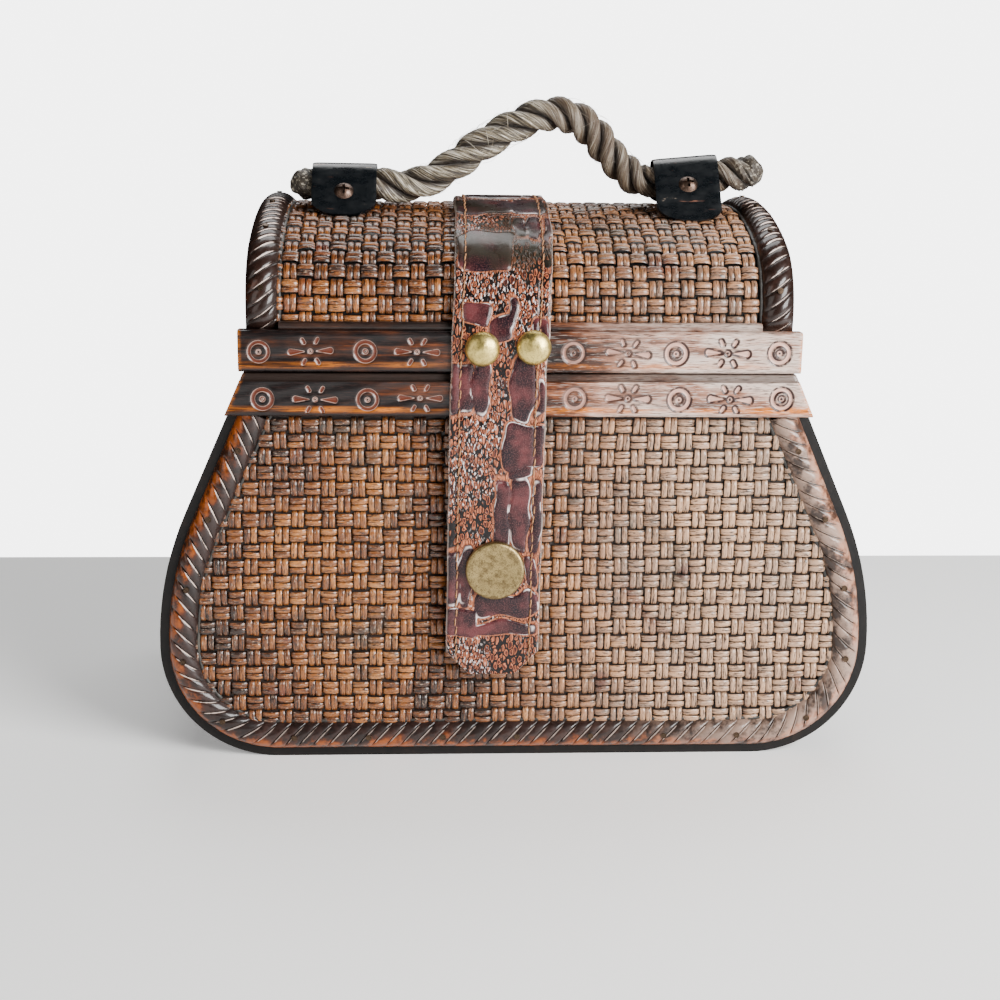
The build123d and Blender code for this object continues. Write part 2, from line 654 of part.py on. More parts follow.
def body_pieces():
    holes = [place * brad(BRAD_FIT) for place in body_brad_places()]
    brads = [place * brad() for place in body_brad_places()]
    moulding = cut(body_moulding(), holes)
    board = cut(panel(), holes)
    leaf_holes = leaf_screws(-1, SCREW_FIT)
    screws = leaf_screws(-1)
    middle = KNUCKLE_LENGTH / 2
    outer = [(-LEAF_WIDTH / 2, -middle - KNUCKLE_GAP), (middle + KNUCKLE_GAP, LEAF_WIDTH / 2)]
    leaves = at_hinges(hinge_leaf(-1, outer))
    pins = at_hinges(hinge_pin())
    rail = body_rail()
    weave = panel_weave()
    return {
        "side_band": side_band(),
        "front_panel": board - socket_hole(),
        "back_panel": back_copy(board),
        "front_weave": weave - socket_hole(),
        "back_weave": back_copy(weave),
        "front_moulding": moulding,
        "back_moulding": back_copy(moulding),
        "body_moulding_brads": group(brads + [back_copy(piece) for piece in brads]),
        "front_rail": rail,
        "back_rail": cut(back_copy(rail), leaf_holes),
        "body_lining": body_lining(),
        "snap_socket": snap_socket(),
        "body_hinge_leaf_left": leaves[0],
        "body_hinge_leaf_right": leaves[1],
        "body_hinge_screws": group(screws),
        "hinge_pin_left": pins[0],
        "hinge_pin_right": pins[1],
    }


def lid_pieces():
    clamp_holes = [place * clamp_screw(SCREW_FIT) for end in (-1, 1) for place in clamp_screw_places(end)]
    clamp_screws = [place * clamp_screw() for end in (-1, 1) for place in clamp_screw_places(end)]
    places = lid_brad_places()
    holes = [place * brad(BRAD_FIT) for place in places]
    brads = [place * brad() for place in places]
    moulding = cut(lid_moulding(), holes)
    shell_holes = holes + [other_end(hole) for hole in holes] + clamp_holes
    nails = [place * stud_nail(SCREW_FIT) for place in stud_places()]
    leaf_holes = leaf_screws(1, SCREW_FIT)
    screws = leaf_screws(1)
    leaves = at_hinges(hinge_leaf(1, [(-KNUCKLE_LENGTH / 2, KNUCKLE_LENGTH / 2)]))
    rail = lid_rail()
    bead = lid_bead()
    end = lid_end()
    return {
        "lid_shell": cut(lid_shell(), shell_holes),
        "lid_weave": cut(lid_weave(), clamp_holes),
        "lid_end_left": other_end(end),
        "lid_end_right": end,
        "lid_moulding_left": other_end(moulding),
        "lid_moulding_right": moulding,
        "lid_moulding_brads": group(brads + [other_end(piece) for piece in brads]),
        "lid_front_rail": cut(rail, nails),
        "lid_back_rail": cut(back_copy(rail), nails + leaf_holes),
        "lid_front_bead": bead,
        "lid_back_bead": back_copy(bead),
        "lid_lining": lid_lining(),
        "lid_hinge_leaf_left": leaves[0],
        "lid_hinge_leaf_right": leaves[1],
        "lid_hinge_screws": group(screws),
        "strap": upper_strap(),
        "strap_studs": group([place * stud() for place in stud_places()]),
        "clamp_left": clamp(-1),
        "clamp_right": clamp(1),
        "clamp_screws": group(clamp_screws),
        "rope_handle": rope_handle(),
    }


def tail_pieces():
    return {
        "strap_tail": strap_tail(),
        "snap_cap": snap_cap(),
        "snap_plug": snap_plug(),
    }


os.makedirs("parts", exist_ok=True)
for node, shape in {**body_pieces(), **lid_pieces(), **tail_pieces()}.items():
    export_step(shape, f"parts/{node}.step")
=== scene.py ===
"""Cane-faced wooden box bag with a rope handle and a stitched leather closing strap."""

import math

import bpy
import numpy as np
from bpy.props import FloatProperty, FloatVectorProperty, IntProperty, PointerProperty
from mathutils import Matrix, Vector


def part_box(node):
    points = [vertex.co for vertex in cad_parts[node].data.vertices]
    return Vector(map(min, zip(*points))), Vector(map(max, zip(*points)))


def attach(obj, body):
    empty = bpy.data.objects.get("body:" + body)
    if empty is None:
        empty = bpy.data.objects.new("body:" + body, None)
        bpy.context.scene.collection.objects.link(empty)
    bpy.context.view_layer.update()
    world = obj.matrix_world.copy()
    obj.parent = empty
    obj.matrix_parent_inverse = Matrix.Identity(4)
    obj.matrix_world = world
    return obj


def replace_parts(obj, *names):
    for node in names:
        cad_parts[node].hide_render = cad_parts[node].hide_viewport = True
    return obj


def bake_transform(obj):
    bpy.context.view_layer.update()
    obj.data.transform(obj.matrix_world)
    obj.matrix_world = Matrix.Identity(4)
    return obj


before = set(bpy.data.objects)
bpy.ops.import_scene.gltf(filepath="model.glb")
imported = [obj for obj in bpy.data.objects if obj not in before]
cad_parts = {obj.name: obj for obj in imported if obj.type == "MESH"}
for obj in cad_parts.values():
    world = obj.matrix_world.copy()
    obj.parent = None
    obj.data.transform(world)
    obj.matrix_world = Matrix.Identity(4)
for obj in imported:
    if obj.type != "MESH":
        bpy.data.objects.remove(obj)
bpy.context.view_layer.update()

bl_info = {
    "name": "Basket Box Bag",
    "version": (1, 0, 0),
    "blender": (4, 5, 0),
    "location": "View3D > Sidebar > Basket Bag",
    "description": "Builds a cane-faced wooden box bag over its packed frame",
    "category": "Object",
}

MM = 0.001

# ---- places and sizes read from the frame ------------------------------------------------

BAND_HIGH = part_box("side_band")[1]
WEAVE_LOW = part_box("front_weave")[0]
BODY_RAIL_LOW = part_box("front_rail")[0]
LID_RAIL_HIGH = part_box("lid_front_rail")[1]
BEAD_LOW, BEAD_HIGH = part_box("lid_front_bead")
SHELL_LOW, SHELL_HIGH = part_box("lid_shell")
LID_WEAVE_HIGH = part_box("lid_weave")[1]
MOULD_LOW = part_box("front_moulding")[0]
LID_MOULD_LOW, LID_MOULD_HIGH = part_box("lid_moulding_right")
STRAP_LOW, STRAP_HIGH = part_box("strap")
TAIL_LOW, TAIL_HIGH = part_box("strap_tail")
CAP_LOW, CAP_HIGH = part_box("snap_cap")
STUDS_LOW, STUDS_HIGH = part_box("strap_studs")

BAG_HALF_WIDTH = BAND_HIGH.x
BODY_HEIGHT = BAND_HIGH.z
HALF_DEPTH = BAND_HIGH.y
WEAVE_FACE = -WEAVE_LOW.y
WEAVE_THICK = WEAVE_FACE - HALF_DEPTH
RAIL_FACE = -BODY_RAIL_LOW.y
RAIL_BOTTOM = BODY_RAIL_LOW.z
LID_FLOOR = SHELL_LOW.z
LID_HALF = SHELL_HIGH.x
LID_TOP = SHELL_HIGH.z
LID_RAIL_TOP = LID_RAIL_HIGH.z
BEAD_TOP = BEAD_HIGH.z
MOULD_HEIGHT = -MOULD_LOW.y - HALF_DEPTH
LID_MOULD_WIDTH = LID_MOULD_HIGH.x - LID_MOULD_LOW.x
LID_MOULD_HEIGHT = LID_MOULD_HIGH.z - LID_TOP
CROWN_TOP = LID_WEAVE_HIGH.z
STRAP_X = (STRAP_LOW.x + STRAP_HIGH.x) / 2
STRAP_WIDTH = STRAP_HIGH.x - STRAP_LOW.x
STRAP_THICK = TAIL_HIGH.y - TAIL_LOW.y
STRAP_FACE = -TAIL_HIGH.y
STRAP_GAP = STRAP_FACE - RAIL_FACE
SNAP_HEIGHT = (CAP_LOW.z + CAP_HIGH.z) / 2

# ---- shape sizes that the frame's boxes don't show ---------------------------------------

BAND_THICK = 3.0 * MM
MOULD_WIDTH = 9.5 * MM
CORNER_RADIUS = 38.0 * MM
SIDE_RADIUS = 110.0 * MM
SIDE_FLARE = math.radians(24.1)
SHOULDER_RADIUS = 21.5 * MM
LID_SKIRT = 18.4 * MM
SPRING = LID_FLOOR + LID_SKIRT
LID_RISE = LID_TOP - SPRING
CROWN_RADIUS = ((HALF_DEPTH - SHOULDER_RADIUS) ** 2 + LID_RISE ** 2 - SHOULDER_RADIUS ** 2) / (
    2 * (LID_RISE - SHOULDER_RADIUS))
CROWN_Z = LID_TOP - CROWN_RADIUS
RAIL_END_PROUD = 0.5 * MM
STUD_SPACING = 16.0 * MM

# route of the rope: X, and the height of its underside above the crown's cane
ROPE_ROUTE = [(-76.0, -0.2), (-44.0, -0.45), (-30.0, -0.6), (-4.0, 19.2), (20.0, 26.4), (39.5, 1.2),
              (50.0, 2.2), (85.0, 5.4)]
ROPE_RADIUS = 5.8 * MM
ROPE_Y = -15.0 * MM
CLAMP_X = 57.4 * MM
CLAMP_HALF = 10.75 * MM
CLAMP_THICK = 1.2 * MM
CLAMP_FIT = 0.25 * MM           # round the rope
CLAMP_SEAT = 0.15 * MM          # off the cane
CLAMP_LEG_RISE = math.radians(37.0)


# ---- settings ----------------------------------------------------------------------------

def length(name, description, millimetres):
    """A size whose default is given in millimetres."""
    return FloatProperty(name=name, description=description, default=millimetres * MM, min=0.0,
                         unit="LENGTH", precision=5)


def colour(name, description, value):
    """An opaque colour."""
    return FloatVectorProperty(name=name, description=description, default=(*value, 1.0), size=4,
                               subtype="COLOR", min=0.0, max=1.0)


class CaneSettings(bpy.types.PropertyGroup):
    """Woven cane on the body's faces and the lid."""
    cell_width: length("Cell width", "One pair of upright strips and its gap", 5.0)
    cell_height: length("Cell height", "One pair of level strips and its gap", 5.174)
    strip_width: length("Strip width", "One strip of cane", 2.02)
    strip_rise: length("Strip rise", "Height of a strip's top over its dipped ends", 1.3)
    light: colour("Light cane", "Worn, honey coloured strips", (0.52, 0.205, 0.052))
    middle: colour("Middle cane", "Most of the stained strips", (0.150, 0.042, 0.007))
    dark: colour("Dark cane", "Deeply stained strips", (0.016, 0.006, 0.003))
    mould: colour("Green stain", "Grey-green patches of old stain", (0.028, 0.029, 0.021))


class MouldingSettings(bpy.types.PropertyGroup):
    """Rope-carved half-round mouldings."""
    body_pitch: length("Body gouge pitch", "From gouge to gouge round the body", 4.8)
    lid_pitch: length("Lid gouge pitch", "From gouge to gouge over the lid", 4.1)
    cut_depth: length("Gouge depth", "Depth of a gouge at its deepest", 0.75)
    outer: colour("Outer edge", "Bare orange wood along the outer edge", (0.26, 0.058, 0.005))
    inner: colour("Inner edge", "Stained wood along the inner edge", (0.036, 0.017, 0.013))
    chip: colour("Chipped wood", "Pale wood where the stain is chipped", (0.66, 0.52, 0.45))


class RailSettings(bpy.types.PropertyGroup):
    """Stamped rails along both rims."""
    stamp_step: length("Stamp step", "From one stamp to the next", 16.35)
    ring_radius: length("Ring radius", "Outer radius of the ring stamp", 3.75)
    stamp_depth: length("Stamp depth", "Depth of the pressed marks", 0.55)
    stain: colour("Rail stain", "Brown stain on the rails", (0.030, 0.010, 0.005))
    worn: colour("Worn edge", "Orange wood along the worn lower edge", (0.56, 0.15, 0.004))
    # painted light: the pale colour of the rails' face on the right, where the light is strongest
    painted_light_face: colour("Washed face", "Pinkish washed wood", (0.58, 0.35, 0.26))


class LeatherSettings(bpy.types.PropertyGroup):
    """Embossed leather strap."""
    pebble: length("Pebble", "Size of the small embossed scales", 1.35)
    stitch: length("Stitch", "From stitch to stitch", 3.1)
    stitch_inset: length("Stitch inset", "From the strap's edge to the stitches", 3.3)
    scale_colour: colour("Scale", "Burgundy tops of the scales", (0.020, 0.006, 0.008))
    outline: colour("Outline", "Orange-pink lines round the scales", (0.50, 0.17, 0.085))
    raw_edge: colour("Raw edge", "Pale cut edge of the leather", (0.50, 0.42, 0.37))
    thread: colour("Thread", "Tan stitching thread", (0.42, 0.20, 0.085))


class RopeSettings(bpy.types.PropertyGroup):
    """Three-strand rope handle."""
    lead: length("Lead", "Length of one full turn of a strand", 27.0)
    strands: IntProperty(name="Strands", description="Strands laid round each other", default=3,
                         min=2, max=4)
    fibre: colour("Fibre", "Silvery grey fibres", (0.22, 0.178, 0.110))
    shade: colour("Shade", "Brown between the yarns", (0.014, 0.009, 0.006))


class MetalSettings(bpy.types.PropertyGroup):
    """Studs, snap, clamps and hinges."""
    brass: colour("Brass", "Polished brass of the studs", (0.78, 0.62, 0.20))
    old_brass: colour("Old brass", "Brown brass of the snap", (0.40, 0.30, 0.13))
    paint: colour("Black paint", "Gloss paint on the clamps", (0.002, 0.003, 0.004))
    screw: colour("Screw", "Bronze-brown screws", (0.13, 0.085, 0.065))


class StageSettings(bpy.types.PropertyGroup):
    """Floor, light and camera."""
    floor: colour("Floor", "Pale floor", (0.93, 0.93, 0.92))
    key_power: FloatProperty(name="Key power", description="Light from the right, in watts",
                             default=31.0, min=0.0, unit="POWER")
    top_power: FloatProperty(name="Top power", description="Light from above, in watts",
                             default=9.0, min=0.0, unit="POWER")
    left_power: FloatProperty(name="Left power", description="Light from the left, in watts",
                              default=4.0, min=0.0, unit="POWER")
    focal: FloatProperty(name="Focal length", description="Camera's focal length in millimetres",
                         default=54.0, min=1.0)


class BagSettings(bpy.types.PropertyGroup):
    """Every setting of the bag."""
    cane: PointerProperty(type=CaneSettings)
    moulding: PointerProperty(type=MouldingSettings)
    rail: PointerProperty(type=RailSettings)
    leather: PointerProperty(type=LeatherSettings)
    rope: PointerProperty(type=RopeSettings)
    metal: PointerProperty(type=MetalSettings)
    stage: PointerProperty(type=StageSettings)


# ---- outlines ----------------------------------------------------------------------------

def arc(centre, radius, start, end, steps=40):
    """Points of an arc in a plane; the angles are in radians."""
    turn = np.linspace(start, end, steps)
    return np.stack([centre[0] + radius * np.cos(turn), centre[1] + radius * np.sin(turn)], axis=1)


def directions(points):
    """Unit directions along the points of a line."""
    run = np.gradient(points, axis=0)
    return run / np.linalg.norm(run, axis=1, keepdims=True)


class Line:
    """A plane line resampled by length, with its left-hand normals."""

    def __init__(self, corners, step):
        corners = np.asarray(corners, float)
        runs = np.linalg.norm(np.diff(corners, axis=0), axis=1)
        corners = corners[np.append(True, runs > 1e-9)]
        runs = runs[runs > 1e-9]
        reach = np.append(0.0, np.cumsum(runs))
        self.length = reach[-1]
        self.s = np.linspace(0.0, self.length, max(2, round(self.length / step) + 1))
        self.points = np.stack([np.interp(self.s, reach, corners[:, k]) for k in (0, 1)], axis=1)
        tangents = directions(self.points)
        self.normals = np.stack([-tangents[:, 1], tangents[:, 0]], axis=1)

    def at(self, s):
        """Points and normals at the lengths s."""
        place = [np.interp(s, self.s, self.points[:, k]) for k in (0, 1)]
        normal = [np.interp(s, self.s, self.normals[:, k]) for k in (0, 1)]
        return np.stack(place, axis=-1), np.stack(normal, axis=-1)


def half_width(z, inset=0.0):
    """Half width of the body's outline at the heights z, moved in by inset."""
    z = np.asarray(z, float)
    corner_x = BAG_HALF_WIDTH - CORNER_RADIUS
    corner = CORNER_RADIUS - inset
    drop = np.clip(CORNER_RADIUS - z, 0.0, corner)
    low = corner_x + np.sqrt(corner ** 2 - drop ** 2)
    side = SIDE_RADIUS - inset
    flare_x = BAG_HALF_WIDTH - SIDE_RADIUS + side * math.cos(SIDE_FLARE)
    flare_z = CORNER_RADIUS + side * math.sin(SIDE_FLARE)
    rise = np.clip(z - CORNER_RADIUS, 0.0, flare_z - CORNER_RADIUS)
    middle = BAG_HALF_WIDTH - SIDE_RADIUS + np.sqrt(side ** 2 - rise ** 2)
    high = flare_x - (z - flare_z) * math.tan(SIDE_FLARE)
    return np.where(z < CORNER_RADIUS, low, np.where(z < flare_z, middle, high))


def body_line(inset, top, step):
    """The body's outline in X and Z: down the left side, along the base and up the right side."""
    turns = ((CORNER_RADIUS, -math.pi / 2, 0), (SIDE_RADIUS, 0, SIDE_FLARE))
    bends = [arc((BAG_HALF_WIDTH - radius, CORNER_RADIUS), radius - inset, start, end)
             for radius, start, end in turns]
    right = np.vstack([*bends, [(float(half_width(top, inset)), top)]])
    return Line(np.vstack([right[::-1] * (-1, 1), right]), step)


def lid_line(offset, floor, step):
    """The lid's side view in Y and Z: up the front, over the crown and down the back."""
    reach = HALF_DEPTH - SHOULDER_RADIUS
    lean = math.atan2(SPRING - CROWN_Z, reach)
    shoulder = arc((reach, SPRING), SHOULDER_RADIUS + offset, 0, lean)
    crown = arc((0, CROWN_Z), CROWN_RADIUS + offset, lean, math.pi / 2)
    back = np.vstack([[(HALF_DEPTH + offset, floor)], shoulder, crown])
    return Line(np.vstack([back * (-1, 1), back[::-1]]), step)


def strap_line(step):
    """The strap's inner face in Y and Z: up the front, over the lid and down its back rail."""
    reach = HALF_DEPTH - SHOULDER_RADIUS
    over = SHOULDER_RADIUS + WEAVE_THICK
    rise = LID_RAIL_TOP - SPRING
    run = RAIL_FACE - reach
    bend = math.atan2(rise, run) + math.acos(over / math.hypot(rise, run))
    lean = math.atan2(SPRING - CROWN_Z, reach)
    corner = arc((RAIL_FACE, LID_RAIL_TOP), STRAP_GAP, 0, bend, 6)
    shoulder = arc((reach, SPRING), over + STRAP_GAP, bend, lean)
    crown = arc((0, CROWN_Z), CROWN_RADIUS + WEAVE_THICK + STRAP_GAP, lean, math.pi / 2)
    half = np.vstack([corner, shoulder, crown])
    front = np.vstack([[(STRAP_FACE, TAIL_LOW.z)], half])
    back = np.vstack([[(STRAP_FACE, STRAP_LOW.z)], half])
    return Line(np.vstack([front * (-1, 1), back[::-1]]), step)


# ---- meshes ------------------------------------------------------------------------------

def grid_faces(rows, columns, closed=False):
    """Quads of a grid of points numbered row by row; closed joins the last column to the first."""
    across = np.arange(columns if closed else columns - 1)
    row, column = np.meshgrid(np.arange(rows - 1), across, indexing="ij")
    after = (column + 1) % columns
    near, far = row * columns, (row + 1) * columns
    quads = np.stack([near + column, near + after, far + after, far + column], axis=-1)
    return quads.reshape(-1, 4)


class Shape:
    """Points, quads and point values of a mesh under construction."""

    def __init__(self):
        self.points, self.faces, self.values = [], [], {}
        self.count = 0

    def add(self, points, faces, **values):
        """Add points and quads; a value is one number, or one or three numbers for each point."""
        points = np.asarray(points, float).reshape(-1, 3)
        self.points.append(points)
        self.faces.append(np.asarray(faces) + self.count)
        for name, value in values.items():
            width = 3 if np.size(value) == 3 * len(points) else 1
            filled = np.broadcast_to(np.reshape(value, (-1, width)), (len(points), width))
            self.values.setdefault(name, []).append(filled)
        self.count += len(points)

    def add_grid(self, points, closed=False, flip=False, **values):
        """Add a grid of points of shape (rows, columns, 3)."""
        rows, columns = points.shape[:2]
        faces = grid_faces(rows, columns, closed)
        self.add(points, faces[:, ::-1] if flip else faces, **values)

    def make(self, name, material, body=None, slot=None):
        """Build the object; it rides on a body when one is named."""
        points = np.vstack(self.points)
        faces = np.vstack(self.faces)
        mesh = bpy.data.meshes.new(name)
        mesh.vertices.add(len(points))
        mesh.vertices.foreach_set("co", points.astype(np.float32).ravel())
        mesh.loops.add(faces.size)
        mesh.loops.foreach_set("vertex_index", faces.astype(np.int32).ravel())
        mesh.polygons.add(len(faces))
        mesh.polygons.foreach_set("loop_start", np.arange(0, faces.size, 4, dtype=np.int32))
        mesh.polygons.foreach_set("use_smooth", np.full(len(faces), True))
        mesh.update(calc_edges=True)
        for key, parts in self.values.items():
            value = np.vstack(parts)
            kind, field = ("FLOAT_VECTOR", "vector") if value.shape[1] == 3 else ("FLOAT", "value")
            layer = mesh.attributes.new(key, kind, "POINT")
            layer.data.foreach_set(field, value.astype(np.float32).ravel())
        mesh.validate()
        mesh.materials.append(material)
        thing = bpy.data.objects.new(name, mesh)
        bpy.context.scene.collection.objects.link(thing)
        if body:
            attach(thing, body)
        return thing


def waves(seed, count, low, high):
    """A smooth seeded function of two coordinates, roughly within -1 and 1."""
    rng = np.random.default_rng(seed)
    size = rng.uniform(low, high, count)
    angle = rng.uniform(0, 2 * math.pi, count)
    phase = rng.uniform(0, 2 * math.pi, count)

    def height(x, y):
        total = 0.0
        for k in range(count):
            run = (x * math.cos(angle[k]) + y * math.sin(angle[k])) / size[k]
            total = total + np.sin(2 * math.pi * run + phase[k])
        return total / math.sqrt(count)
    return height


def softened(thing, width):
    """Round the sharp edges of a frame piece with a modifier."""
    bevel = thing.modifiers.new("softened edges", "BEVEL")
    bevel.width = width
    bevel.segments = 2
    bevel.limit_method = "ANGLE"
    bevel.angle_limit = math.radians(35)


def tube(shape, line, radius, sides=8, **values):
    """Add a closed-ended tube along the points of a line; radius is one number or one per point."""
    line = np.asarray(line, float)
    tangents = directions(line)
    helper = np.eye(3)[np.abs(tangents).max(axis=0).argmin()]
    side = np.cross(tangents, helper)
    side /= np.linalg.norm(side, axis=1, keepdims=True)
    up = np.cross(side, tangents)
    turn = np.linspace(0, 2 * math.pi, sides, endpoint=False)[None, :, None]
    radius = np.broadcast_to(radius, (len(line),))[:, None, None]
    ring = line[:, None] + radius * (side[:, None] * np.cos(turn) + up[:, None] * np.sin(turn))
    ends = [np.repeat(line[:1, None], sides, axis=1), np.repeat(line[-1:, None], sides, axis=1)]
    shape.add_grid(np.concatenate([ends[0], ring, ends[1]]), closed=True, flip=True, **values)


def lathe(shape, profile, frame_at, turns, dent):
    """Add a turned piece; profile is (radius, height) pairs, frame_at(x, y, h) places it."""
    turn = np.linspace(0, 2 * math.pi, turns, endpoint=False)
    radius = np.array([p[0] for p in profile])[:, None]
    height = np.array([p[1] for p in profile])[:, None] + 0 * turn
    x, y = radius * np.cos(turn), radius * np.sin(turn)
    shape.add_grid(frame_at(x, y, height + dent(x, y)), closed=True)


def cap_profile(radius, height, rim, swell):
    """Profile of a low dome: from its rim on the plane up over the edge to the middle."""
    inner = radius - rim
    edge = [(inner + rim * math.cos(a), height + swell - rim + rim * math.sin(a))
            for a in np.linspace(0, math.pi / 2, 7)]
    top = [(inner * (1 - k), height + swell * (1 - k) ** 2) for k in np.linspace(0, 1, 14)[1:]]
    return [(radius, 0.0)] + edge + top


# ---- materials ---------------------------------------------------------------------------

class Finish:
    """A material whose nodes are added by short calls that return sockets."""

    def __init__(self, name, **uniform):
        self.material = bpy.data.materials.new(name)
        self.material.use_nodes = True
        self.tree = self.material.node_tree
        self.shader = self.tree.nodes["Principled BSDF"]
        for key, value in uniform.items():
            self.shader.inputs[key.replace("_", " ")].default_value = value

    def node(self, kind, inputs=(), **settings):
        """A new node; its inputs are given as sockets or plain values."""
        made = self.tree.nodes.new(kind)
        for key, value in settings.items():
            setattr(made, key, value)
        for key, value in dict(inputs).items():
            self.join(made.inputs[key], value)
        return made

    def join(self, socket, value):
        if isinstance(value, bpy.types.NodeSocket):
            self.tree.links.new(value, socket)
        elif value is not None:
            socket.default_value = value

    def place(self):
        """Place on the piece, in metres."""
        return self.node("ShaderNodeTexCoord").outputs["Object"]

    def value(self, name):
        """A number stored on the mesh."""
        return self.node("ShaderNodeAttribute", attribute_name=name).outputs["Fac"]

    def vector(self, name):
        """Three numbers stored on the mesh."""
        return self.node("ShaderNodeAttribute", attribute_name=name).outputs["Vector"]

    def part(self, vector, axis):
        return self.node("ShaderNodeSeparateXYZ", {0: vector}).outputs[axis]

    def stretched(self, vector, scale, turn=(0, 0, 0)):
        inputs = {"Vector": vector, "Scale": scale, "Rotation": turn}
        return self.node("ShaderNodeMapping", inputs).outputs[0]

    def noise(self, vector, scale=1.0, detail=3.0, roughness=0.55, distortion=0.0):
        inputs = {"Vector": vector, "Scale": scale, "Detail": detail, "Roughness": roughness,
                  "Distortion": distortion}
        return self.node("ShaderNodeTexNoise", inputs).outputs["Fac"]

    def cells(self, vector, scale, feature):
        inputs = {"Vector": vector, "Scale": scale, "Randomness": 0.9}
        return self.node("ShaderNodeTexVoronoi", inputs, feature=feature).outputs["Distance"]

    def sum(self, operation, first, second=None, clamp=False):
        made = self.node("ShaderNodeMath", operation=operation, use_clamp=clamp)
        self.join(made.inputs[0], first)
        self.join(made.inputs[1], second)
        return made.outputs[0]

    def times(self, first, second, clamp=False):
        return self.sum("MULTIPLY", first, second, clamp)

    def plus(self, first, second, clamp=False):
        return self.sum("ADD", first, second, clamp)

    def span(self, value, low, high, to_low=0.0, to_high=1.0):
        """Value carried smoothly from one range to another."""
        inputs = {"Value": value, "From Min": low, "From Max": high, "To Min": to_low,
                  "To Max": to_high}
        return self.node("ShaderNodeMapRange", inputs, interpolation_type="SMOOTHSTEP").outputs[0]

    def ramp(self, value, *stops):
        """A colour that changes with a value through (position, colour) stops."""
        made = self.node("ShaderNodeValToRGB", {0: value})
        points = made.color_ramp.elements
        while len(points) < len(stops):
            points.new(0.5)
        for point, (position, shade) in zip(points, stops):
            point.position = position
            point.color = (*shade[:3], 1.0)
        return made.outputs["Color"]

    def mix(self, share, first, second):
        """A colour between the first and the second; each is a socket or a colour."""
        made = self.node("ShaderNodeMix", {0: share}, data_type="RGBA")
        for socket, shade in ((made.inputs[6], first), (made.inputs[7], second)):
            if not isinstance(shade, bpy.types.NodeSocket):
                shade = (*shade[:3], 1.0)
            self.join(socket, shade)
        return made.outputs[2]

    def bump(self, height, distance, strength=1.0, under=None):
        inputs = {"Height": height, "Distance": distance, "Strength": strength, "Normal": under}
        return self.node("ShaderNodeBump", inputs).outputs[0]

    def set(self, **sockets):
        """Join sockets to the shader and return the finished material."""
        for key, value in sockets.items():
            self.join(self.shader.inputs[key.replace("_", " ")], value)
        return self.material


# BLACK is the black of the painted shade in the cane's tucks and the mouldings' gouges.
BLACK = (0.012, 0.009, 0.008)
CLOTH_PITCH = 0.7 * MM          # from thread to thread of the lining


def cane_finish(sizes):
    """Lacquered cane; fibre holds the length along a strip, the place across it and a tone."""
    cane = Finish("stained cane", Coat_Weight=0.7, Coat_Roughness=0.16, Specular_IOR_Level=0.3)
    fibre = cane.vector("fibre")
    where = cane.place()
    streaks = cane.noise(cane.stretched(fibre, (260.0, 1.8, 57.0)), detail=5.0, roughness=0.72)
    fine = cane.noise(cane.stretched(fibre, (360.0, 2.7, 91.0)), detail=3.0, roughness=0.65)
    tone = cane.part(fibre, 2)
    patches = cane.noise(where, 26.0, 3.0, 0.6)
    amount = cane.plus(cane.times(tone, 0.42), cane.times(streaks, 1.2))
    amount = cane.plus(amount, cane.span(patches, 0.3, 0.7, -0.50, -0.18))
    # Painted light: towards the right the cane is painted lighter and washed towards pale tan,
    # standing in for the strong light there; less of it on the lid.
    painted_light_share = cane.span(cane.part(where, 2), 0.125, 0.145, 1.0, 0.40)
    right = cane.times(cane.span(cane.part(where, 0), -0.02, 0.07), painted_light_share)
    amount = cane.plus(amount, cane.times(right, 0.22))
    base = cane.ramp(amount, (0.22, sizes.dark), (0.42, sizes.middle), (0.60, (0.27, 0.086, 0.014)),
                     (0.88, sizes.light))
    # painted light: the pale tan wash on the right
    base = cane.mix(cane.times(right, 0.48), base, (0.52, 0.41, 0.31))
    old = cane.span(cane.noise(where, 31.0, 6.0, 0.72), 0.52, 0.70, 0.0, 0.85)
    base = cane.mix(old, base, sizes.mould)
    red = cane.span(cane.noise(where, 61.0, 2.0), 0.60, 0.72, 0.0, 0.45)
    base = cane.mix(red, base, (0.12, 0.018, 0.014))
    # Painted highlights: small bright glints along the strips.
    painted_glint = cane.noise(cane.stretched(fibre, (640.0, 2.2, 17.0)), detail=3.0, roughness=0.7)
    base = cane.mix(cane.span(painted_glint, 0.57, 0.68, 0.0, 0.55), base, (0.66, 0.47, 0.33))
    base = cane.mix(cane.span(fine, 0.38, 0.48, 0.95, 0.0), base, sizes.dark)
    # Painted shade: black where the strips dip under their neighbours and along their sides.
    grime = cane.times(cane.value("grime"), cane.span(fine, 0.2, 0.8, 0.75, 1.1), clamp=True)
    base = cane.mix(grime, base, BLACK)
    relief = cane.bump(streaks, 0.00030, 0.9, cane.bump(fine, 0.00018, 0.9))
    return cane.set(Base_Color=base, Roughness=cane.span(streaks, 0.3, 0.8, 0.24, 0.50),
                    Normal=relief)


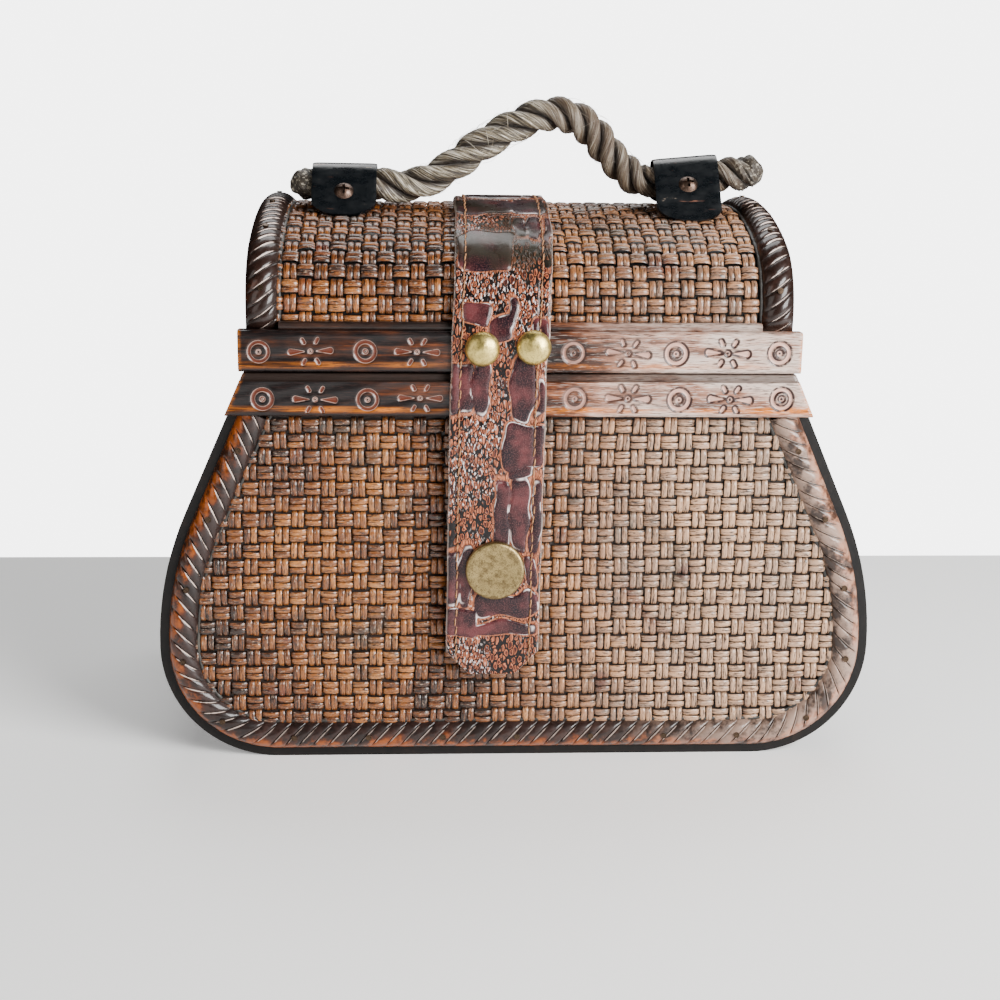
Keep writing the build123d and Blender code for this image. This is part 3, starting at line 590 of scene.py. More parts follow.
def moulding_finish(sizes):
    """Carved and stained wood; carve holds the gouge's depth, the place across and the phase."""
    wood = Finish("carved moulding", Coat_Weight=0.45, Coat_Roughness=0.12, Specular_IOR_Level=0.2)
    carve = wood.vector("carve")
    where = wood.place()
    depth, across, phase = (wood.part(carve, axis) for axis in range(3))
    grain = wood.noise(where, 420.0, 4.0, 0.6)
    blotch = wood.noise(where, 70.0, 4.0, 0.65)
    edge = wood.plus(across, wood.span(blotch, 0.28, 0.72, -0.55, 0.65))
    edge = wood.plus(edge, wood.times(phase, -0.3))
    bare = wood.ramp(wood.span(edge, -1.0, 1.0), (0.10, sizes.outer), (0.27, (0.075, 0.017, 0.004)),
                     (0.46, sizes.inner), (0.80, (0.022, 0.011, 0.009)))
    bare = wood.mix(wood.span(grain, 0.35, 0.55, 0.55, 0.0), bare, (0.012, 0.006, 0.005))
    burnt = wood.noise(where, 130.0, 4.0, 0.7)
    bare = wood.mix(wood.span(burnt, 0.46, 0.60, 0.0, 0.88), bare, (0.010, 0.006, 0.005))
    body = wood.span(wood.part(where, 2), 0.120, 0.135, 1.0, 0.0)
    # Painted light: on the body's right the mouldings are lightened in pale patches, standing in
    # for the strong light there; worn holds this painted light, not wear.
    right = wood.times(wood.span(wood.part(where, 0), 0.02, 0.10), body)
    worn = wood.times(right, wood.span(burnt, 0.40, 0.60, 0.55, 0.05))
    bare = wood.mix(worn, bare, (0.50, 0.34, 0.26))
    # Painted shade: the lid's mouldings are painted darker than the body's.
    bare = wood.mix(wood.span(body, 0.0, 1.0, 0.45, 0.0), bare, (0.018, 0.008, 0.005))
    # Painted shade: the gouges darken towards black with their depth.
    bare = wood.mix(wood.span(depth, 0.25, 0.8, 0.0, 0.9), bare, BLACK)
    line = wood.times(wood.value("chip"), wood.span(grain, 0.3, 0.6, 0.5, 1.1))
    bare = wood.mix(wood.span(line, 0.25, 0.6), bare, sizes.chip)
    relief = wood.bump(grain, 0.0002, 0.7)
    return wood.set(Base_Color=bare, Roughness=wood.span(grain, 0.3, 0.7, 0.26, 0.5), Normal=relief)


def rail_finish(sizes):
    """Stained rail; mark holds the distance outside a stamp in mm, the recess and the worn edge."""
    wood = Finish("stamped rail", Coat_Weight=0.35, Coat_Roughness=0.14, Specular_IOR_Level=0.2)
    mark = wood.vector("mark")
    where = wood.place()
    away, recess, worn = (wood.part(mark, axis) for axis in range(3))
    grain = wood.noise(wood.stretched(where, (28.0, 400.0, 760.0)), 1.0, 5.0, 0.65, 0.3)
    fine = wood.noise(wood.stretched(where, (150.0, 900.0, 2300.0)), 1.0, 3.0, 0.6)
    blotch = wood.noise(wood.stretched(where, (26.0, 60.0, 90.0)), 1.0, 4.0, 0.65)
    # Painted light: side grows towards the right, where the light is strongest; with it the face is
    # painted lighter and paler.
    side = wood.span(wood.part(where, 0), -0.035, 0.065)
    light = wood.plus(wood.times(side, 0.50), wood.span(blotch, 0.3, 0.7, -0.28, 0.14))
    light = wood.plus(light, wood.times(grain, 0.75))
    face = wood.ramp(light, (0.30, (0.005, 0.003, 0.003)), (0.44, sizes.stain),
                     (0.56, (0.095, 0.024, 0.006)), (0.70, (0.27, 0.092, 0.040)),
                     (0.86, sizes.painted_light_face))
    # Painted light: pale patches on the right.
    pale = wood.times(wood.span(side, 0.45, 1.0), wood.span(blotch, 0.38, 0.58, 0.1, 0.75))
    face = wood.mix(pale, face, (0.56, 0.46, 0.40))
    edge = wood.times(worn, wood.span(grain, 0.36, 0.54, 0.1, 1.0))
    face = wood.mix(edge, face, sizes.worn)
    lines = wood.noise(wood.stretched(where, (260.0, 1500.0, 4200.0)), 1.0, 2.0, 0.6)
    face = wood.mix(wood.span(lines, 0.36, 0.46, 0.80, 0.0), face, (0.020, 0.010, 0.009))
    # Painted highlights: pale streaks along the grain on the right.
    painted_streak_light = wood.times(side, wood.span(lines, 0.56, 0.66, 0.0, 0.5))
    face = wood.mix(painted_streak_light, face, (0.74, 0.68, 0.64))
    # Painted shade: recess darkens the rebate along the body rail's top, and half as much the
    # rails' ends and the lid's bead strips.
    face = wood.mix(wood.times(recess, 0.75), face, (0.022, 0.014, 0.011))
    pressed = wood.span(away, -0.08, 0.02, 1.0, 0.0)
    pressed = wood.times(pressed, wood.span(fine, 0.3, 0.5, 0.5, 0.95))
    # Painted light: the pressed marks lighten towards the right.
    fill = wood.mix(side, (0.10, 0.022, 0.010), (0.62, 0.36, 0.28))
    face = wood.mix(pressed, face, fill)
    thin, thick = wood.span(away, 0.02, 0.16, 1.0, 0.0), wood.span(away, 0.52, 0.74, 1.0, 0.0)
    rim = wood.times(wood.span(away, -0.16, -0.02), wood.mix(side, thin, thick))
    patchy = wood.noise(where, 380.0, 3.0, 0.6)
    # The stamps' outlines go from light on the left to dark on the right with the painted light.
    outline = wood.mix(wood.span(side, 0.25, 0.60), (0.34, 0.22, 0.18), (0.030, 0.014, 0.012))
    face = wood.mix(wood.times(rim, wood.span(patchy, 0.34, 0.50, 0.3, 1.0)), face, outline)
    relief = wood.bump(grain, 0.00022, 0.7, wood.bump(fine, 0.00018, 0.8))
    return wood.set(Base_Color=face, Roughness=wood.span(grain, 0.3, 0.7, 0.28, 0.5), Normal=relief)


def band_finish():
    """Black-stained bent wood with a little brown showing through on the worn places."""
    wood = Finish("black-stained band", Specular_IOR_Level=0.25)
    where = wood.place()
    grain = wood.noise(wood.stretched(where, (260.0, 24.0, 260.0)), 1.0, 5.0, 0.62, 0.4)
    worn = wood.noise(where, 60.0, 5.0, 0.7)
    shade = wood.ramp(grain, (0.3, (0.0015, 0.0014, 0.0015)), (0.62, (0.005, 0.0035, 0.003)),
                      (0.9, (0.018, 0.009, 0.006)))
    shade = wood.mix(wood.span(worn, 0.64, 0.76, 0.0, 0.5), shade, (0.045, 0.018, 0.008))
    relief = wood.bump(grain, 0.00025, 0.7)
    return wood.set(Base_Color=shade, Roughness=wood.span(worn, 0.3, 0.7, 0.35, 0.6), Normal=relief)


def board_finish():
    """Thin brown-stained board inside and behind the cane."""
    wood = Finish("stained board", Coat_Weight=0.1, Coat_Roughness=0.4)
    where = wood.place()
    grain = wood.noise(wood.stretched(where, (30.0, 300.0, 420.0)), 1.0, 5.0, 0.6, 0.6)
    shade = wood.ramp(grain, (0.3, (0.009, 0.006, 0.005)), (0.7, (0.035, 0.017, 0.011)))
    return wood.set(Base_Color=shade, Roughness=wood.span(grain, 0.3, 0.7, 0.45, 0.7),
                    Normal=wood.bump(grain, 0.0002, 0.6))


def glue_finish():
    """Old grey-green glue and filler along the mouldings."""
    glue = Finish("old glue", Coat_Weight=0.2, Coat_Roughness=0.4)
    where = glue.place()
    lumps = glue.noise(where, 420.0, 4.0, 0.7)
    patch = glue.noise(where, 70.0, 3.0, 0.6)
    shade = glue.ramp(patch, (0.35, (0.006, 0.005, 0.004)), (0.6, (0.022, 0.019, 0.015)),
                      (0.78, (0.09, 0.08, 0.06)))
    return glue.set(Base_Color=shade, Roughness=glue.span(lumps, 0.3, 0.7, 0.4, 0.8),
                    Normal=glue.bump(lumps, 0.0004, 0.8))


def leather_finish(sizes):
    """Embossed leather; skin holds the place along and across and how far inside a large plate."""
    hide = Finish("embossed leather", Coat_Weight=0.3, Coat_Roughness=0.16, Specular_IOR_Level=0.15)
    skin = hide.vector("skin")
    along, across, plate = (hide.part(skin, axis) for axis in range(3))
    flat = hide.node("ShaderNodeCombineXYZ", {0: along, 1: across}).outputs[0]
    warp = hide.noise(flat, 520.0, 2.0)
    bent = hide.node("ShaderNodeVectorMath", {0: flat}, operation="ADD")
    push = hide.span(warp, 0.2, 0.8, -0.0006, 0.0006)
    hide.join(bent.inputs[1], hide.node("ShaderNodeCombineXYZ", {0: push}).outputs[0])
    spread = hide.stretched(bent.outputs[0], (0.52, 1.0, 1.0), (0, 0, 0.6))
    core = hide.cells(spread, 1.0 / sizes.pebble, "F1")
    edge = hide.cells(spread, 1.0 / sizes.pebble, "DISTANCE_TO_EDGE")
    line = hide.sum("SUBTRACT", edge, hide.span(core, 0.35, 0.85, -0.06, 0.10))
    crease = hide.noise(flat, 210.0, 3.0, 0.6)
    bead = hide.sum("SUBTRACT", hide.span(line, 0.02, 0.20), hide.span(line, 0.22, 0.40, 0.0, 0.35))
    inside = hide.span(plate, 0.0, 0.25)
    border = hide.times(hide.span(plate, -0.32, -0.06), hide.span(plate, 0.02, 0.20, 1.0, 0.0))
    hue = hide.noise(flat, 90.0, 3.0, 0.6)
    top = hide.ramp(hue, (0.38, (0.007, 0.004, 0.007)), (0.50, sizes.scale_colour),
                    (0.64, (0.095, 0.024, 0.026)))
    pebbles = hide.ramp(line, (0.07, (0.006, 0.004, 0.004)), (0.11, (0.30, 0.085, 0.040)),
                        (0.15, sizes.outline), (0.22, (0.36, 0.105, 0.048)),
                        (0.28, (0.11, 0.026, 0.014)), (0.38, (0.050, 0.012, 0.009)))
    pebbles = hide.mix(hide.span(hue, 0.56, 0.66, 0.0, 0.7), pebbles, (0.012, 0.008, 0.010))
    stipple = hide.noise(flat, 2600.0, 2.0, 0.6)
    plates = hide.mix(hide.span(stipple, 0.50, 0.62, 0.0, 0.45), top, (0.15, 0.060, 0.058))
    glint = hide.noise(hide.stretched(flat, (700.0, 1500.0, 1.0), (0, 0, 0.5)), 1.0, 2.0, 0.5)
    zone = hide.span(hide.noise(flat, 45.0, 2.0), 0.44, 0.58, 0.0, 0.9)
    shine = hide.times(hide.span(glint, 0.56, 0.64), zone)
    pebbles = hide.mix(shine, pebbles, (0.80, 0.70, 0.68))
    # Painted highlights: pale streaks along the inner rims of the large scales.
    rim = hide.times(hide.span(plate, 0.16, 0.26), hide.span(plate, 0.30, 0.50, 1.0, 0.0))
    rim = hide.times(rim, hide.span(hide.noise(flat, 150.0, 2.0), 0.50, 0.60, 0.0, 0.85))
    plates = hide.mix(rim, plates, (0.78, 0.68, 0.66))
    base = hide.mix(inside, pebbles, plates)
    base = hide.mix(hide.times(border, 0.8), base, sizes.outline)
    # Painted shade: where the strap lies over the crown it is darkened in patches to dark olive, a
    # painted dark reflection.
    shade = hide.times(hide.span(along, 0.122, 0.136), hide.span(along, 0.165, 0.21, 1.0, 0.0))
    painted_dark_reflection = hide.times(shade, hide.span(hide.noise(flat, 60.0, 2.0), 0.40, 0.56, 0.0, 0.85))
    base = hide.mix(painted_dark_reflection, base, (0.024, 0.021, 0.014))
    base = hide.mix(hide.value("cut"), base, sizes.raw_edge)
    keep = hide.sum("SUBTRACT", 1.0, inside)
    height = hide.plus(hide.times(bead, keep), hide.times(crease, 0.35))
    return hide.set(Base_Color=base, Roughness=hide.span(crease, 0.3, 0.7, 0.24, 0.44),
                    Normal=hide.bump(height, 0.0007))


def thread_finish(sizes):
    """Twisted tan thread."""
    thread = Finish("stitching thread")
    lay = thread.stretched(thread.place(), (2600.0, 900.0, 900.0), (0, 0.6, 0))
    twist = thread.noise(lay, 1.0, 2.0)
    shade = thread.ramp(twist, (0.35, (0.13, 0.05, 0.025)), (0.6, sizes.thread))
    return thread.set(Base_Color=shade, Roughness=0.7, Normal=thread.bump(twist, 0.0002))


def rope_finish(sizes):
    """Laid rope; fibre holds the length along a strand, the turn round it and its tone."""
    rope = Finish("laid rope", Roughness=0.45, Sheen_Weight=0.08, Sheen_Roughness=0.4)
    fibre = rope.vector("fibre")
    where = rope.place()
    yarn = rope.noise(rope.stretched(fibre, (50.0, 3.0, 11.0)), 1.0, 3.0, 0.6)
    hair = rope.noise(rope.stretched(fibre, (150.0, 9.0, 23.0)), 1.0, 3.0, 0.7)
    brown = rope.noise(where, 38.0, 3.0, 0.6)
    amount = rope.plus(rope.times(hair, 0.75), rope.times(yarn, 0.3))
    shade = rope.ramp(amount, (0.45, sizes.shade), (0.50, (0.075, 0.058, 0.037)),
                      (0.55, sizes.fibre), (0.62, (0.72, 0.66, 0.55)))
    side = rope.span(rope.part(where, 0), 0.002, 0.016, 0.0, 0.62)
    warm = rope.plus(rope.span(brown, 0.45, 0.7, 0.0, 0.35), side, clamp=True)
    shade = rope.mix(warm, shade, (0.085, 0.052, 0.031))
    speck = rope.span(rope.noise(where, 900.0, 2.0), 0.54, 0.66)
    melted = rope.mix(speck, (0.034, 0.026, 0.018), (0.42, 0.38, 0.30))
    shade = rope.mix(rope.value("fused"), shade, melted)
    # Painted shade in the valleys between the strands.
    shade = rope.mix(rope.value("deep"), shade, (0.02, 0.013, 0.009))
    relief = rope.bump(hair, 0.0005, 0.9, rope.bump(yarn, 0.0006, 0.7))
    return rope.set(Base_Color=shade, Normal=relief)


def metal_finish(name, base, dark, roughness, patina, scale):
    """Worn metal with darker patina in patches and fine scratches."""
    metal = Finish(name, Metallic=1.0)
    where = metal.place()
    patch = metal.noise(where, scale, 5.0, 0.68)
    fine = metal.noise(where, scale * 6, 3.0, 0.65)
    share = metal.times(metal.span(patch, 0.42, 0.68), patina)
    shade = metal.mix(share, base, dark)
    shade = metal.mix(metal.span(fine, 0.50, 0.62, 0.0, patina), shade, dark)
    rough = metal.span(patch, 0.3, 0.7, *roughness)
    return metal.set(Base_Color=shade, Roughness=rough, Normal=metal.bump(fine, 0.00008, 0.6))


def paint_finish(sizes):
    """Thick black gloss paint, chipped down to rust and bright steel."""
    paint = Finish("black paint", Coat_Weight=0.25, Coat_Roughness=0.2)
    where = paint.place()
    chips = paint.noise(paint.stretched(where, (1.0, 1.0, 2.2)), 150.0, 5.0, 0.72)
    scratch = paint.noise(paint.stretched(where, (60.0, 700.0, 900.0), (0, 0.5, 0)), 1.0, 3.0, 0.7)
    base = paint.mix(paint.span(scratch, 0.66, 0.74, 0.0, 0.8), sizes.paint, (0.20, 0.085, 0.055))
    base = paint.mix(paint.span(chips, 0.66, 0.72, 0.0, 0.9), base, (0.28, 0.22, 0.17))
    ripple = paint.noise(where, 210.0, 2.0)
    return paint.set(Base_Color=base, Roughness=paint.span(chips, 0.3, 0.7, 0.22, 0.42),
                     Normal=paint.bump(ripple, 0.0005, 0.35))


def cloth_finish():
    """Plain-woven dark cotton lining."""
    cloth = Finish("cotton lining", Roughness=0.85, Sheen_Weight=0.25, Sheen_Roughness=0.5)
    weave = cloth.vector("weave")
    thread = [cloth.sum("SINE", cloth.times(cloth.part(weave, axis), 2 * math.pi / CLOTH_PITCH))
              for axis in (0, 1)]
    grid = cloth.times(*thread)
    slub = cloth.noise(cloth.stretched(weave, (60.0, 900.0, 1.0)), 1.0, 3.0)
    patch = cloth.noise(cloth.place(), 30.0, 3.0)
    shade = cloth.ramp(cloth.plus(cloth.times(grid, 0.18), slub), (0.25, (0.028, 0.012, 0.010)),
                       (0.6, (0.085, 0.035, 0.026)), (0.95, (0.16, 0.08, 0.06)))
    shade = cloth.mix(cloth.span(patch, 0.5, 0.75, 0.0, 0.4), shade, (0.03, 0.018, 0.014))
    return cloth.set(Base_Color=shade, Normal=cloth.bump(grid, 0.00015, 0.6))


# ---- woven cane --------------------------------------------------------------------------

STRIP_TURNS = np.array([-1.0, -0.94, -0.80, -0.45, 0.0, 0.45, 0.80, 0.94, 1.0])
STRIP_SIDES = np.array([-1.0, -0.82, -0.3, 0.3, 0.82, 1.0])
STRIP_TUCK = 0.35 * MM          # of an upright strip's showing length, under its neighbour
LEVEL_TUCK = 1.6 * STRIP_TUCK
STRIP_EDGE = 0.42 * MM          # fall from a strip's middle to its edge
STRIP_SINK = 0.35 * MM          # of the lowest strips below the highest ones
STRIP_TURN = 0.022              # spread of the strips' slant, as a slope
SHEET_WANDER = 0.28 * MM        # of the rows and columns from straight lines
CUT_UNDER_MOULDING = 0.9 * MM   # of the cane's edge, below the moulding round it
SHORTEST_STRIP = 0.3 * MM
BODY_ROWS, BODY_COLUMNS = 21, 47
FIRST_COLUMN = -106.6 * MM      # middle of the left-hand column
FIRST_ROW = 112.0 * MM          # middle of the top row
LID_COLUMNS = 31
LID_FIRST_ROW = 0.4 * MM
LID_SHIFT = 2.4 * MM            # of the middle column from the lid's middle


def strip_heights(crown, sizes):
    """Height of one showing length of strip over the board, along by across."""
    along = 1 - np.abs(STRIP_TURNS) ** 4.5
    low = crown - sizes.strip_rise
    middle = low + (crown - low) * along
    fall = STRIP_EDGE * (1 - np.sqrt(1 - (0.985 * STRIP_SIDES) ** 2))
    return middle[:, None] - fall[None, :]


def woven_cane(shape, sizes, columns, rows, start, first_over, place, seed):
    """Add a plain weave of paired strips; place(u, v, height) gives the points of the sheet."""
    rng = np.random.default_rng(seed)
    drift = waves(seed + 1, 5, 45 * MM, 110 * MM)
    pitch = (sizes.cell_width, sizes.cell_height)
    tones = {0: rng.uniform(0.15, 0.85, (rows, 2)), 1: rng.uniform(0.15, 0.85, (columns, 2))}
    for row in range(rows):
        for column in range(columns):
            level = (row + column + first_over) % 2 == 0
            middle = (start[0] + column * pitch[0], start[1] + row * pitch[1])
            reach = pitch[0] / 2 + LEVEL_TUCK if level else pitch[1] / 2 + STRIP_TUCK
            for number, side in enumerate((-1, 1)):
                tone = tones[0][row][number] if level else tones[1][column][number]
                tone = np.clip(0.45 * tone + rng.uniform(0.0, 0.6), 0.0, 1.0)
                crown = WEAVE_THICK - rng.uniform(0.0, STRIP_SINK)
                turn = rng.normal(0, STRIP_TURN)
                slip = side * sizes.strip_width * 0.525 + rng.normal(0, 0.05) * MM
                wide = sizes.strip_width / 2 * rng.uniform(0.90, 1.04)
                long = STRIP_TURNS[:, None] * reach + rng.normal(0, 0.1) * MM + 0 * STRIP_SIDES
                belly = 0.84 + 0.18 * (1 - STRIP_TURNS[:, None] ** 4)
                cross = slip + STRIP_SIDES * wide * belly + turn * long
                height = strip_heights(crown, sizes) + rng.normal(0, 0.05) * MM * STRIP_SIDES
                u, v = (long, cross) if level else (cross, long)
                u, v = middle[0] + u, middle[1] + v
                shift = SHEET_WANDER * drift(u, v)
                points, keep = place(u + shift, v + shift[::-1] * 0.6, height)
                if not keep:
                    continue
                fibre = np.stack([long + rng.uniform(0, 0.5), STRIP_SIDES + 0 * long,
                                  tone + 0 * long], axis=-1)
                # Painted shade mask: the ends, where a strip dips under the crossing strips, and
                # the sides, where it meets its neighbour.
                ends = np.clip((np.abs(STRIP_TURNS) - 0.78) / 0.22, 0, 1)[:, None] ** 1.6
                sides = np.clip((np.abs(STRIP_SIDES) - 0.8) / 0.2, 0, 1)[None, :] ** 2 * 0.8
                grime = np.clip(np.maximum(ends, sides), 0, 1)
                shape.add_grid(points, flip=level, fibre=fibre, grime=grime)


def face_place(front):
    """Place points of a body face; the cane is cut off along the mouldings and the rail."""
    inset = BAND_THICK + MOULD_WIDTH - CUT_UNDER_MOULDING
    top = RAIL_BOTTOM + 0.5 * MM
    side = -1 if front else 1

    def place(u, v, height):
        v = np.clip(v, inset, top)
        reach = half_width(v, inset)
        cut = np.clip(u, -reach, reach)
        keep = min(np.ptp(cut), np.ptp(v)) > SHORTEST_STRIP
        return np.stack([cut, side * (HALF_DEPTH + height), v], axis=-1), keep
    return place


def lid_place():
    """Place points of the lid's cane; v is the length from the front bead up over the crown."""
    line = lid_line(0.0, BEAD_TOP - 0.4 * MM, 1.0 * MM)
    reach = LID_HALF - LID_MOULD_WIDTH + 0.8 * MM

    def place(u, v, height):
        v = np.clip(v, 0, line.length)
        cut = np.clip(u, -reach, reach)
        points, normals = line.at(v)
        across = points + normals * height[..., None]
        keep = min(np.ptp(cut), np.ptp(v)) > SHORTEST_STRIP
        return np.stack([cut, across[..., 0], across[..., 1]], axis=-1), keep
    return place, line.length


class BASKET_OT_body_cane(bpy.types.Operator):
    """Weave the cane on the body's front and back"""
    bl_idname = "basket.body_cane"
    bl_label = "Body Cane"

    def execute(self, context):
        sizes = context.scene.basket_bag.cane
        finish = cane_finish(sizes)
        start = (FIRST_COLUMN, FIRST_ROW - (BODY_ROWS - 1) * sizes.cell_height)
        for face, seed in (("front", 11), ("back", 12)):
            shape = Shape()
            place = face_place(face == "front")
            woven_cane(shape, sizes, BODY_COLUMNS, BODY_ROWS, start, 0, place, seed)
            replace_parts(shape.make(face + "_cane", finish, "body", "cane"), face + "_weave")
        return {"FINISHED"}


class BASKET_OT_lid_cane(bpy.types.Operator):
    """Weave the cane over the lid"""
    bl_idname = "basket.lid_cane"
    bl_label = "Lid Cane"

    def execute(self, context):
        sizes = context.scene.basket_bag.cane
        finish = bpy.data.materials.get("stained cane") or cane_finish(sizes)
        place, length_over = lid_place()
        rows = math.ceil(length_over / sizes.cell_height) + 1
        start = (-LID_COLUMNS // 2 * sizes.cell_width + LID_SHIFT, LID_FIRST_ROW)
        shape = Shape()
        woven_cane(shape, sizes, LID_COLUMNS, rows, start, 1, place, 21)
        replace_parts(shape.make("lid_cane", finish, "lid", "cane"), "lid_weave")
        return {"FINISHED"}


# ---- carved mouldings --------------------------------------------------------------------

BODY_SLANT = 4.3 * MM           # of a gouge, from the middle of the moulding to its edge
LID_SLANT = 3.4 * MM
LID_CUT_SHARE = 0.8             # of the body's gouge depth
LID_MOULD_TAPER = 3.5 * MM      # length of the rounded ends
MOULD_STEP = 0.5 * MM           # between the points of the body moulding's line
LID_MOULD_STEP = 0.45 * MM
ACROSS = np.sin(np.linspace(-math.pi / 2, math.pi / 2, 15))
GOUGE_TURNS = np.array([0.0, 0.03, 0.06, 0.10, 0.14, 0.20, 0.32, 0.46, 0.60, 0.75, 0.88, 0.95])


def carved_strip(line, height, pitch, cut_depth, slant, seed):
    """Lengths, heights and values of a carved half-round over a line: along by across."""
    rng = np.random.default_rng(seed)
    first, last = -3, int(line.length / pitch) + 4
    number = np.repeat(np.arange(first, last), len(GOUGE_TURNS))[:, None]
    turn = np.tile(GOUGE_TURNS, last - first)[:, None]
    t = ACROSS[None, :]
    shift = rng.uniform(-0.09, 0.09, last - first + 1)
    start, after = (shift[number - first + k] for k in (0, 1))
    phase = number + start + turn * (1 + after - start)
    s = np.clip(pitch * phase + slant * (t + 0.22 * t ** 2), 0, line.length)
    reach = np.exp(-((t - 0.10) / 0.80) ** 6)
    cut = np.exp(-(turn / 0.10) ** 2) + np.exp(-((1 - turn) / 0.04) ** 2)
    cut = np.clip(cut, 0, 1) * reach
    lift = rng.uniform(-0.12, 0.12, last - first)[number - first] * MM
    round_top = (1 - t ** 2) ** 0.55
    body = height * round_top * (0.93 + 0.07 * np.sin(math.pi * turn)) + lift * round_top
    level = np.maximum(body - cut_depth * cut * round_top ** 0.5, 0.05 * MM)
    chip = np.exp(-((turn - 0.10) / 0.038) ** 2) * np.clip(1.6 - np.abs(t - 0.10) * 2.1, 0, 1)
    near = np.minimum(turn, 1 - turn)
    carve = np.stack([cut + 0 * s, t + 0 * s, near + 0 * s], axis=-1)
    return s, np.minimum(level, height), carve, chip + 0 * s


def end_taper(s, line, run):
    """Share of the full height at lengths along a line, falling to nothing at both ends."""
    reach = np.minimum(s, line.length - s) / run
    return np.sqrt(np.clip(reach, 0.0, 1.0))


class BASKET_OT_mouldings(bpy.types.Operator):
    """Carve the half-round mouldings round the body and over the lid's ends"""
    bl_idname = "basket.mouldings"
    bl_label = "Carved Mouldings"

    def execute(self, context):
        sizes = context.scene.basket_bag.moulding
        finish = moulding_finish(sizes)
        line = body_line(BAND_THICK + MOULD_WIDTH / 2, RAIL_BOTTOM + 0.3 * MM, MOULD_STEP)
        s, level, carve, chip = carved_strip(line, MOULD_HEIGHT, sizes.body_pitch, sizes.cut_depth,
                                             BODY_SLANT, 31)
        places, normals = line.at(s)
        xz = places + normals * (ACROSS * MOULD_WIDTH / 2)[None, :, None]
        for name, side in (("front_moulding", -1), ("back_moulding", 1)):
            points = np.stack([xz[..., 0], side * (HALF_DEPTH + level), xz[..., 1]], axis=-1)
            shape = Shape()
            shape.add_grid(points, flip=side < 0, carve=carve, chip=chip)
            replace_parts(shape.make(name + "_carved", finish, "body", "moulding"), name)
        line = lid_line(0.0, LID_RAIL_TOP, LID_MOULD_STEP)
        s, level, carve, chip = carved_strip(line, LID_MOULD_HEIGHT, sizes.lid_pitch,
                                             LID_CUT_SHARE * sizes.cut_depth, LID_SLANT, 32)
        places, normals = line.at(s)
        level = level * (0.25 + 0.75 * end_taper(s, line, LID_MOULD_TAPER))
        carve[..., 1] = carve[..., 1] * 0.5 + 0.55
        for name, side in (("lid_moulding_left", -1), ("lid_moulding_right", 1)):
            x = side * (LID_HALF - LID_MOULD_WIDTH / 2) + ACROSS[None, :] * LID_MOULD_WIDTH / 2
            yz = places + normals * level[..., None]
            points = np.stack([x + 0 * level, yz[..., 0], yz[..., 1]], axis=-1)
            shape = Shape()
            shape.add_grid(points, flip=True, carve=carve, chip=chip)
            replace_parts(shape.make(name + "_carved", finish, "lid", "moulding"), name)
        return {"FINISHED"}


class BASKET_OT_glue(bpy.types.Operator):
    """Run the old glue along the inner edges of the mouldings and rails"""
    bl_idname = "basket.glue"
    bl_label = "Glue Lines"

    def execute(self, context):
        finish = glue_finish()
        rng = np.random.default_rng(41)
        gap = 0.1 * MM
        over_body = body_line(BAND_THICK + MOULD_WIDTH + gap, RAIL_BOTTOM, 1.0 * MM)
        over_lid = lid_line(0.8 * MM, BEAD_TOP, 1.0 * MM)
        for body, line, axis, off in (("body", over_body, 1, HALF_DEPTH + 0.9 * MM),
                                      ("lid", over_lid, 0, LID_HALF - LID_MOULD_WIDTH - gap)):
            shape = Shape()
            for side in (-1, 1):
                radius = (0.45 + 0.3 * rng.random(len(line.s))) * MM
                tube(shape, np.insert(line.points, axis, side * off, axis=1), radius)
            shape.make(body + "_glue_line", finish, body, "moulding")
        return {"FINISHED"}


# ---- stamped rails -----------------------------------------------------------------------

FRONT_RAIL_STEP, BACK_RAIL_STEP = 0.32 * MM, 0.60 * MM
RAIL_ROUNDING = 1.3 * MM
BODY_RAIL_LIP = (2.2 * MM, 1.6 * MM)    # height and depth of the rebate along its top
UNSTAMPED = 9.0                         # millimetres to the nearest mark, on plain places
BEAD_ROUNDING = 1.2 * MM


def ridge(distance, width):
    """Bell of a distance."""
    return np.exp(-(distance / width) ** 2)


def ring_stamp(x, z, radius):
    """Distance outside the pressed marks of a ring stamp round the origin."""
    away = np.hypot(x, z)
    outer = np.abs(away - 0.80 * radius) - 0.60 * MM
    return np.minimum(outer, np.abs(away - 0.17 * radius) - 0.25 * MM)


def slot_stamp(x, z, long, width, taper=0.0):
    """Distance outside a rounded slot along X, narrower towards +X by the share taper."""
    wide = width * (1 - taper * np.clip((x + long / 2) / long, 0, 1))
    along = np.maximum(np.abs(x) - (long - wide) / 2, 0)
    return np.hypot(along, z) - wide / 2


def flower_stamp(x, z, radius):
    """Distance outside four short slots and two pointed ones round a small ring."""
    away = np.abs(np.hypot(x, z) - 0.6 * MM) - 0.25 * MM
    for side in (-1, 1):
        petal = slot_stamp(-side * (x - side * 1.18 * radius), z, 5.4 * MM, 2.5 * MM, 0.88)
        away = np.minimum(away, petal)
        for up in (-1, 1):
            dx, dz = x - side * 0.56 * radius, z - up * 0.86 * radius
            turn = math.radians(60) * side * up
            long = dx * math.cos(turn) + dz * math.sin(turn)
            across = dz * math.cos(turn) - dx * math.sin(turn)
            away = np.minimum(away, slot_stamp(long, across, 2.4 * MM, 1.2 * MM))
    return away


